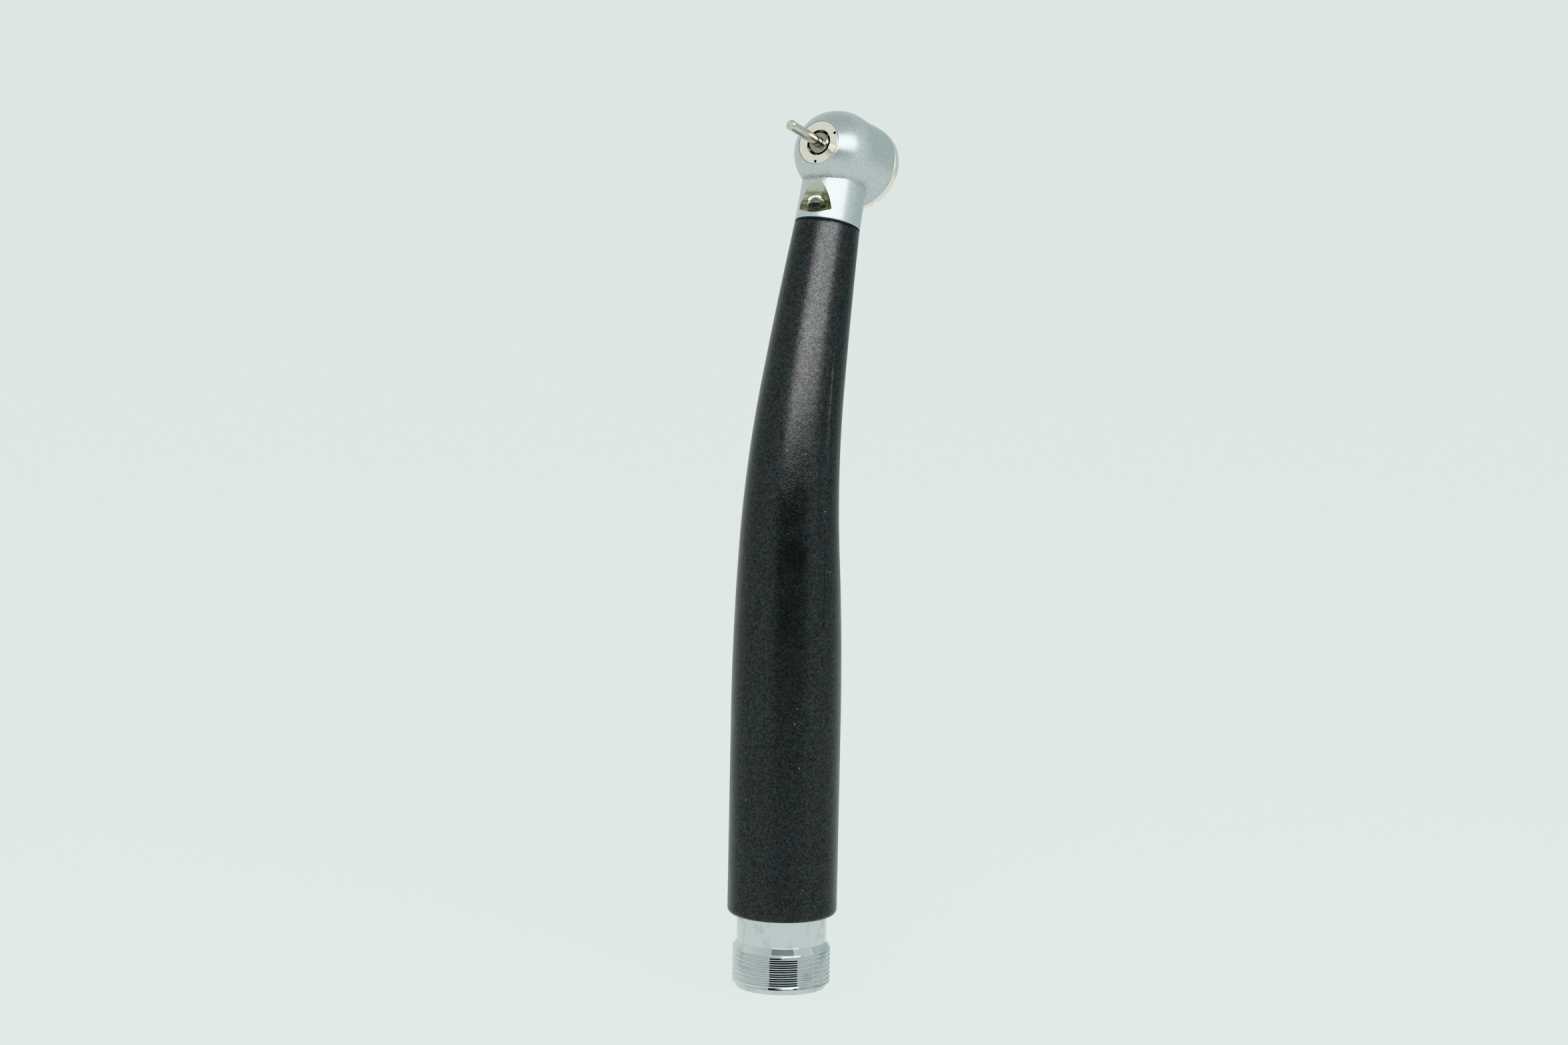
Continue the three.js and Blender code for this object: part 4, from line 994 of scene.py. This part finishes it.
def make_front_ring():
    back = RING_THICKNESS
    channel = 0.55
    inner = SPRAY_CIRCLE - SPRAY_CHANNEL / 2
    outer = SPRAY_CIRCLE + SPRAY_CHANNEL / 2
    corners = [
        (RING_BORE, 0, 0.06),
        (RING_RADIUS, 0, 0.05),
        (RING_RADIUS, back, 0.03),
        (outer, back, 0),
        (outer, channel, 0),
        (inner, channel, 0),
        (inner, back, 0),
        (RING_BORE, back, 0.03),
    ]
    ring = mesh_object("nose_ring", moved(lathe(rounded(corners), 192), in_head))
    holes = []
    for i in range(SPRAY_HOLES):
        angle = math.pi + i * 2 * math.pi / SPRAY_HOLES
        at = Vector((SPRAY_CIRCLE * math.cos(angle), SPRAY_CIRCLE * math.sin(angle), 0))
        hole = cylinder(SPRAY_RADIUS, -1, channel + 0.2, 32)
        holes.append(moved(hole, lambda p: in_head(Vector(p) + at)))
    combine(ring, holes)
    piece(ring, warm_nickel, "handpiece", "warm_nickel", "front_ring")


make_front_ring()


BUTTON_BOTTOM = SHELL_LENGTH + BUTTON_TRAVEL + FACE_GAP


def make_cap():
    lip_bore = BUTTON_RADIUS + 2 * FIT_GAP
    room = lip_bore + BUTTON_FLANGE
    lip_start = BUTTON_BOTTOM + BUTTON_LIP + 2 * FACE_GAP
    web_start = SHELL_LENGTH - CAP_WEB
    plunger_hole = PLUNGER_RADIUS + PLUNGER_GAP
    corners = [
        (BEARING_SEAT, CAP_SCREW_START, 0),
        (CAP_SCREW_RADIUS, CAP_SCREW_START, 0.1),
        (CAP_SCREW_RADIUS, SHELL_LENGTH + FACE_GAP, 0),
        (CAP_RADIUS, SHELL_LENGTH + FACE_GAP, 0.06),
        (CAP_RADIUS + 0.02, SHELL_LENGTH + 0.7, 0.3),
        (CAP_RADIUS - 0.08, CAP_BACK - 0.35, 0.2),
        (CAP_RADIUS - 0.3, CAP_BACK, 0.12),
        (lip_bore, CAP_BACK, 0.08),
        (lip_bore, lip_start, 0),
        (room, lip_start, 0),
        (room, SHELL_LENGTH, 0),
        (plunger_hole, SHELL_LENGTH, 0),
        (plunger_hole, web_start, 0),
        (BEARING_SEAT, web_start, 0),
        (BEARING_SEAT, REAR_GROOVE_START + ORING_GROOVE_WIDTH, 0),
        (ORING_GROOVE, REAR_GROOVE_START + ORING_GROOVE_WIDTH, 0),
        (ORING_GROOVE, REAR_GROOVE_START, 0),
        (BEARING_SEAT, REAR_GROOVE_START, 0),
    ]
    cap = mesh_object("cap", moved(lathe(rounded(corners), 224), in_head))
    cuts = [box_cut(MARK_ANGLE, MARK_WIDTH, MARK_DEPTH, MARK_LENGTH)]
    for i in range(NOTCH_COUNT):
        angle = NOTCH_ANGLE + i * 2 * math.pi / NOTCH_COUNT
        cuts.append(box_cut(angle, NOTCH_WIDTH, NOTCH_DEPTH, NOTCH_LENGTH))
    combine(cap, cuts)
    piece(cap, warm_nickel, "handpiece", "warm_nickel", "back_cap")


def box_cut(angle, width, depth, length):
    """A straight slot across the cap's edge at an angle about the bur's axis."""
    turn = Matrix.Rotation(angle, 3, "Z")
    points = []
    for across in (-length / 2, length / 2):
        for side in (-width / 2, width / 2):
            for height in (-depth, depth):
                points.append(turn @ Vector((CAP_RADIUS + across, side, CAP_BACK + height)))
    faces = [(0, 1, 3, 2), (4, 6, 7, 5), (0, 4, 5, 1), (2, 3, 7, 6), (0, 2, 6, 4), (1, 5, 7, 3)]
    return moved((points, faces), in_head)


make_cap()


def make_button():
    top = CAP_BACK + BUTTON_PROUD
    tip = SPINDLE_END + BUTTON_TRAVEL
    flange = BUTTON_RADIUS + BUTTON_FLANGE
    crown_edge = BUTTON_RADIUS - 0.2
    crown = [(r, top + BUTTON_DOME * (1 - (r / crown_edge) ** 2), 0) for r in spread(crown_edge, 0, 0.35)]
    corners = [
        (0, tip, 0),
        (PLUNGER_RADIUS, tip, 0.08),
        (PLUNGER_RADIUS, BUTTON_BOTTOM, 0),
        (flange, BUTTON_BOTTOM, 0.06),
        (flange, BUTTON_BOTTOM + BUTTON_LIP, 0.05),
        (BUTTON_RADIUS, BUTTON_BOTTOM + BUTTON_LIP, 0),
        (BUTTON_RADIUS, top - 0.15, 0.1),
        *crown,
    ]
    button = mesh_object("button_cap", moved(lathe(rounded(corners), 192), in_head))
    piece(button, satin_chrome, "button", "satin_chrome", "push_button")


make_button()


def make_spindle():
    bore = BUR_RADIUS + 0.12
    nose_back = 1.45
    corners = [
        (bore, 0.1, 0.02),
        (BUR_RADIUS + 0.05, 0.02, 0.02),
        (BUR_RADIUS + 0.05, -NOSE_PROUD, 0.02),
        (NOSE_RADIUS - 0.2, -NOSE_PROUD, 0.03),
        (NOSE_RADIUS, 0.1, 0.03),
        (NOSE_RADIUS, nose_back, 0.02),
        (SPINDLE_RADIUS, nose_back, 0),
        (SPINDLE_RADIUS, SPINDLE_END, 0.05),
        (CHUCK_BORE, SPINDLE_END, 0.03),
        (CHUCK_BORE, CHUCK_START, 0),
        (bore, CHUCK_START, 0),
    ]
    spindle = mesh_object("spindle_body", moved(lathe(rounded(corners), 144), in_head))
    piece(spindle, tool_steel, "rotor", "tool_steel", "spindle")


make_spindle()


def make_bur():
    corners = [
        (0, -BUR_PROUD, 0),
        (BUR_RADIUS - 0.18, -BUR_PROUD, 0.03),
        (BUR_RADIUS, -BUR_PROUD + 0.22, 0.05),
        (BUR_RADIUS, BUR_DEPTH - 0.2, 0.05),
        (BUR_RADIUS - 0.2, BUR_DEPTH, 0.03),
        (0, BUR_DEPTH, 0),
    ]
    bur = mesh_object("bur_shank", moved(lathe(rounded(corners), 96), in_head))
    piece(bur, bur_steel, "bur_blank", "steel", "bur")


make_bur()

# ------------------------------------------------------------------ connector


def thread_band(start, end, sides):
    """The outside of a helical V thread between two heights, running out into plain rings there."""
    corners = [(0, 0), (0.15, 0), (0.46, THREAD_DEPTH), (0.6, THREAD_DEPTH)]  # share of a pitch, depth
    per_turn = len(corners)
    rows = math.ceil((end - start) / THREAD_PITCH + 1) * per_turn + 1
    points = []
    for row in range(rows):
        share, depth = corners[row % per_turn]
        climb = row // per_turn + share - 1
        for i in range(sides):
            height = start + THREAD_PITCH * (climb + i / sides)
            height = min(max(height, start), end)
            fade = min(1, (height - start) / THREAD_RUNOUT, (end - height) / THREAD_RUNOUT)
            radius = THREAD_RADIUS - depth * fade
            angle = 2 * math.pi * i / sides
            points.append((radius * math.cos(angle), radius * math.sin(angle), height))
    faces = []
    for row in range(rows - 1):
        for i in range(sides - 1):
            low = row * sides + i
            faces.append((low, low + 1, low + sides + 1, low + sides))
    for row in range(rows - 1 - per_turn):
        low = row * sides + sides - 1
        beside = (row + per_turn) * sides
        faces.append((low, beside, beside + sides, low + sides))
    return points, faces


def joined(*shapes):
    """Several shapes as one; points that meet are merged when the mesh is made."""
    points = []
    faces = []
    for more_points, more_faces in shapes:
        first = len(points)
        points += more_points
        faces += [[first + index for index in face] for face in more_faces]
    return points, faces


def make_connector():
    sides = 288
    thread_end = LIP_HEIGHT + (THREAD_TURNS + 0.5) * THREAD_PITCH
    cone_start = thread_end + 0.08
    groove = COLLAR_RADIUS - SEAL_GROOVE_DEPTH
    groove_start = ORING_STATION - SEAL_GROOVE_WIDTH / 2
    groove_end = ORING_STATION + SEAL_GROOVE_WIDTH / 2
    below = rounded(
        [
            (0, CUP_FLOOR, 0),
            (CUP_RADIUS, CUP_FLOOR, 0.1),
            (CUP_RADIUS, 0, 0.15),
            (COLLAR_RADIUS, 0, 0.12),
            (COLLAR_RADIUS, LIP_HEIGHT - 0.2, 0),
            (THREAD_RADIUS, LIP_HEIGHT, 0),
        ],
        steps=6,
    )
    above = rounded(
        [
            (0, CONNECTOR_LENGTH, 0),
            (COLLAR_RADIUS, CONNECTOR_LENGTH, 0.2),
            (COLLAR_RADIUS, groove_end, 0.05),
            (groove, groove_end, 0),
            (groove, groove_start, 0),
            (COLLAR_RADIUS, groove_start, 0.05),
            (COLLAR_RADIUS, cone_start + CONE_LENGTH, 0.12),
            (THREAD_RADIUS, cone_start, 0.06),
            (THREAD_RADIUS, thread_end, 0),
        ],
        steps=6,
    )
    thread = thread_band(LIP_HEIGHT, thread_end, sides)
    crisp = 20  # degrees, so that the thread's flanks stay flat
    shape = moved(joined(lathe(below, sides), thread, lathe(above, sides)), in_handle)
    body = mesh_object("connector", shape, crisp)
    drills = [
        beside_axis(cylinder(radius + FIT_GAP, CUP_FLOOR - 1, CONNECTOR_LENGTH + 1), at)
        for at, radius, _ in SPIGOTS.values()
    ]
    combine(body, drills, sharp_angle=crisp)
    piece(body, bright_chrome, "handpiece", "bright_chrome", "connector_body")


make_connector()


def make_gasket():
    top = CUP_DEPTH + GASKET_THICKNESS
    edge = CUP_RADIUS - 2 * FIT_GAP
    corners = [(0, CUP_DEPTH, 0), (edge, CUP_DEPTH, 0.12), (edge, top, 0.08), (0, top, 0)]
    gasket = mesh_object("gasket", moved(lathe(rounded(corners), 144), in_handle))
    holes = [
        beside_axis(cylinder(radius + FIT_GAP, CUP_DEPTH - 1, top + 1), at)
        for at, radius, _ in SPIGOTS.values()
    ]
    combine(gasket, holes)
    piece(gasket, rubber_grey, "handpiece", "rubber_grey", "hose_gasket")


make_gasket()


def make_spigots():
    for name, (at, radius, end) in SPIGOTS.items():
        corners = [
            (radius - SPIGOT_WALL, SPIGOT_INSET, 0.06),
            (radius, SPIGOT_INSET, 0.06),
            (radius, end, 0),
            (radius - SPIGOT_WALL, end, 0),
        ]
        spigot = mesh_object(name + "_tube", beside_axis(lathe(rounded(corners), 64), at))
        piece(spigot, steel, "handpiece", "steel", name)


make_spigots()

# ------------------------------------------------------------------ studio

BACKDROP = (0.777, 0.847, 0.822)
CEILING = (0.60, 0.65, 0.65)
CEILING_START = 0.55  # how high a direction points, as a sine, where the ceiling's tone sets in
CEILING_FULL = 0.9
FLOOR_GAP = 0.01
STUDIO_HEIGHT = 70  # above the rim: what the lamp and the cards face


def make_world():
    world = bpy.data.worlds.new("studio")
    bpy.context.scene.world = world
    world.use_nodes = True
    background = world.node_tree.nodes["Background"]
    tree = world.node_tree
    direction = tree.nodes.new("ShaderNodeSeparateXYZ")
    tree.links.new(tree.nodes.new("ShaderNodeTexCoord").outputs["Generated"], direction.inputs[0])
    height = tree.nodes.new("ShaderNodeMapRange")
    tree.links.new(direction.outputs["Z"], height.inputs["Value"])
    height.inputs["From Min"].default_value = CEILING_START
    height.inputs["From Max"].default_value = CEILING_FULL
    ceiling = tree.nodes.new("ShaderNodeMix")
    ceiling.data_type = "RGBA"
    ceiling.inputs[6].default_value = (*BACKDROP, 1)
    ceiling.inputs[7].default_value = (*CEILING, 1)
    tree.links.new(height.outputs["Result"], ceiling.inputs["Factor"])
    tree.links.new(ceiling.outputs[2], background.inputs["Color"])


def make_floor():
    """A wide pale floor that glows as the backdrop does, so that no horizon shows."""
    radii = (0, 60, 200, 600, 1500, 6500)
    floor = mesh_object("floor", lathe([(radius, RIM - FLOOR_GAP) for radius in radii], 96))
    if floor.data.polygons[0].normal.z < 0:
        floor.data.flip_normals()
    finish = Finish("floor_paper", (0.09, 0.09, 0.09), 0, 1, Specular_IOR_Level=0)
    share_of_own_light = 0.93
    finish.shader.inputs["Emission Color"].default_value = (*BACKDROP, 1)
    finish.shader.inputs["Emission Strength"].default_value = share_of_own_light
    floor.data.materials.append(finish.material)


def toward(azimuth, elevation, distance):
    """A place round the handpiece: azimuth in degrees from the camera's side, turning to its right."""
    turn = VIEW_AZIMUTH + math.radians(azimuth)
    rise = math.radians(elevation)
    flat = distance * math.cos(rise)
    height = RIM + STUDIO_HEIGHT + distance * math.sin(rise)
    return Vector((flat * math.sin(turn), -flat * math.cos(turn), height))


def aimed(obj, place):
    """Stands an object at a place, facing the handpiece's middle."""
    obj.location = place * MM
    look = Vector((0, 0, RIM + STUDIO_HEIGHT)) - place
    obj.rotation_euler = look.to_track_quat("-Z", "Y").to_euler()


def softbox(name, azimuth, elevation, distance, width, height, radiance):
    """A broad white lamp that the camera doesn't see."""
    data = bpy.data.lights.new(name, "AREA")
    data.shape = "RECTANGLE"
    data.size = width * MM
    data.size_y = height * MM
    data.energy = radiance * math.pi * data.size * data.size_y
    lamp = bpy.data.objects.new(name, data)
    lamp.visible_camera = False
    bpy.context.scene.collection.objects.link(lamp)
    aimed(lamp, toward(azimuth, elevation, distance))


def card(name, azimuth, elevation, distance, width, height, colour):
    """A card for the metal to reflect, which the camera doesn't see."""
    x = width / 2
    y = height / 2
    shape = ([(-x, -y, 0), (x, -y, 0), (x, y, 0), (-x, y, 0)], [(0, 1, 2, 3)])
    made = mesh_object(name, shape)
    aimed(made, toward(azimuth, elevation, distance))
    made.visible_camera = False
    made.visible_shadow = False
    made.visible_diffuse = False
    finish = Finish(name + "_cloth", colour, 0, 1, Specular_IOR_Level=0)
    made.data.materials.append(finish.material)


make_world()
make_floor()
softbox("front_softbox", 12, 35, 700, 900, 290, 4.2)
card("camera_card", 6, 2, 620, 840, 320, (0.01, 0.012, 0.012))
card("overhead_card", 5, 58, 650, 560, 300, (0.36, 0.385, 0.42))
card("right_card", 128, 8, 850, 1300, 900, (0.62, 0.68, 0.68))

bpy.context.scene.view_settings.view_transform = "Khronos PBR Neutral"
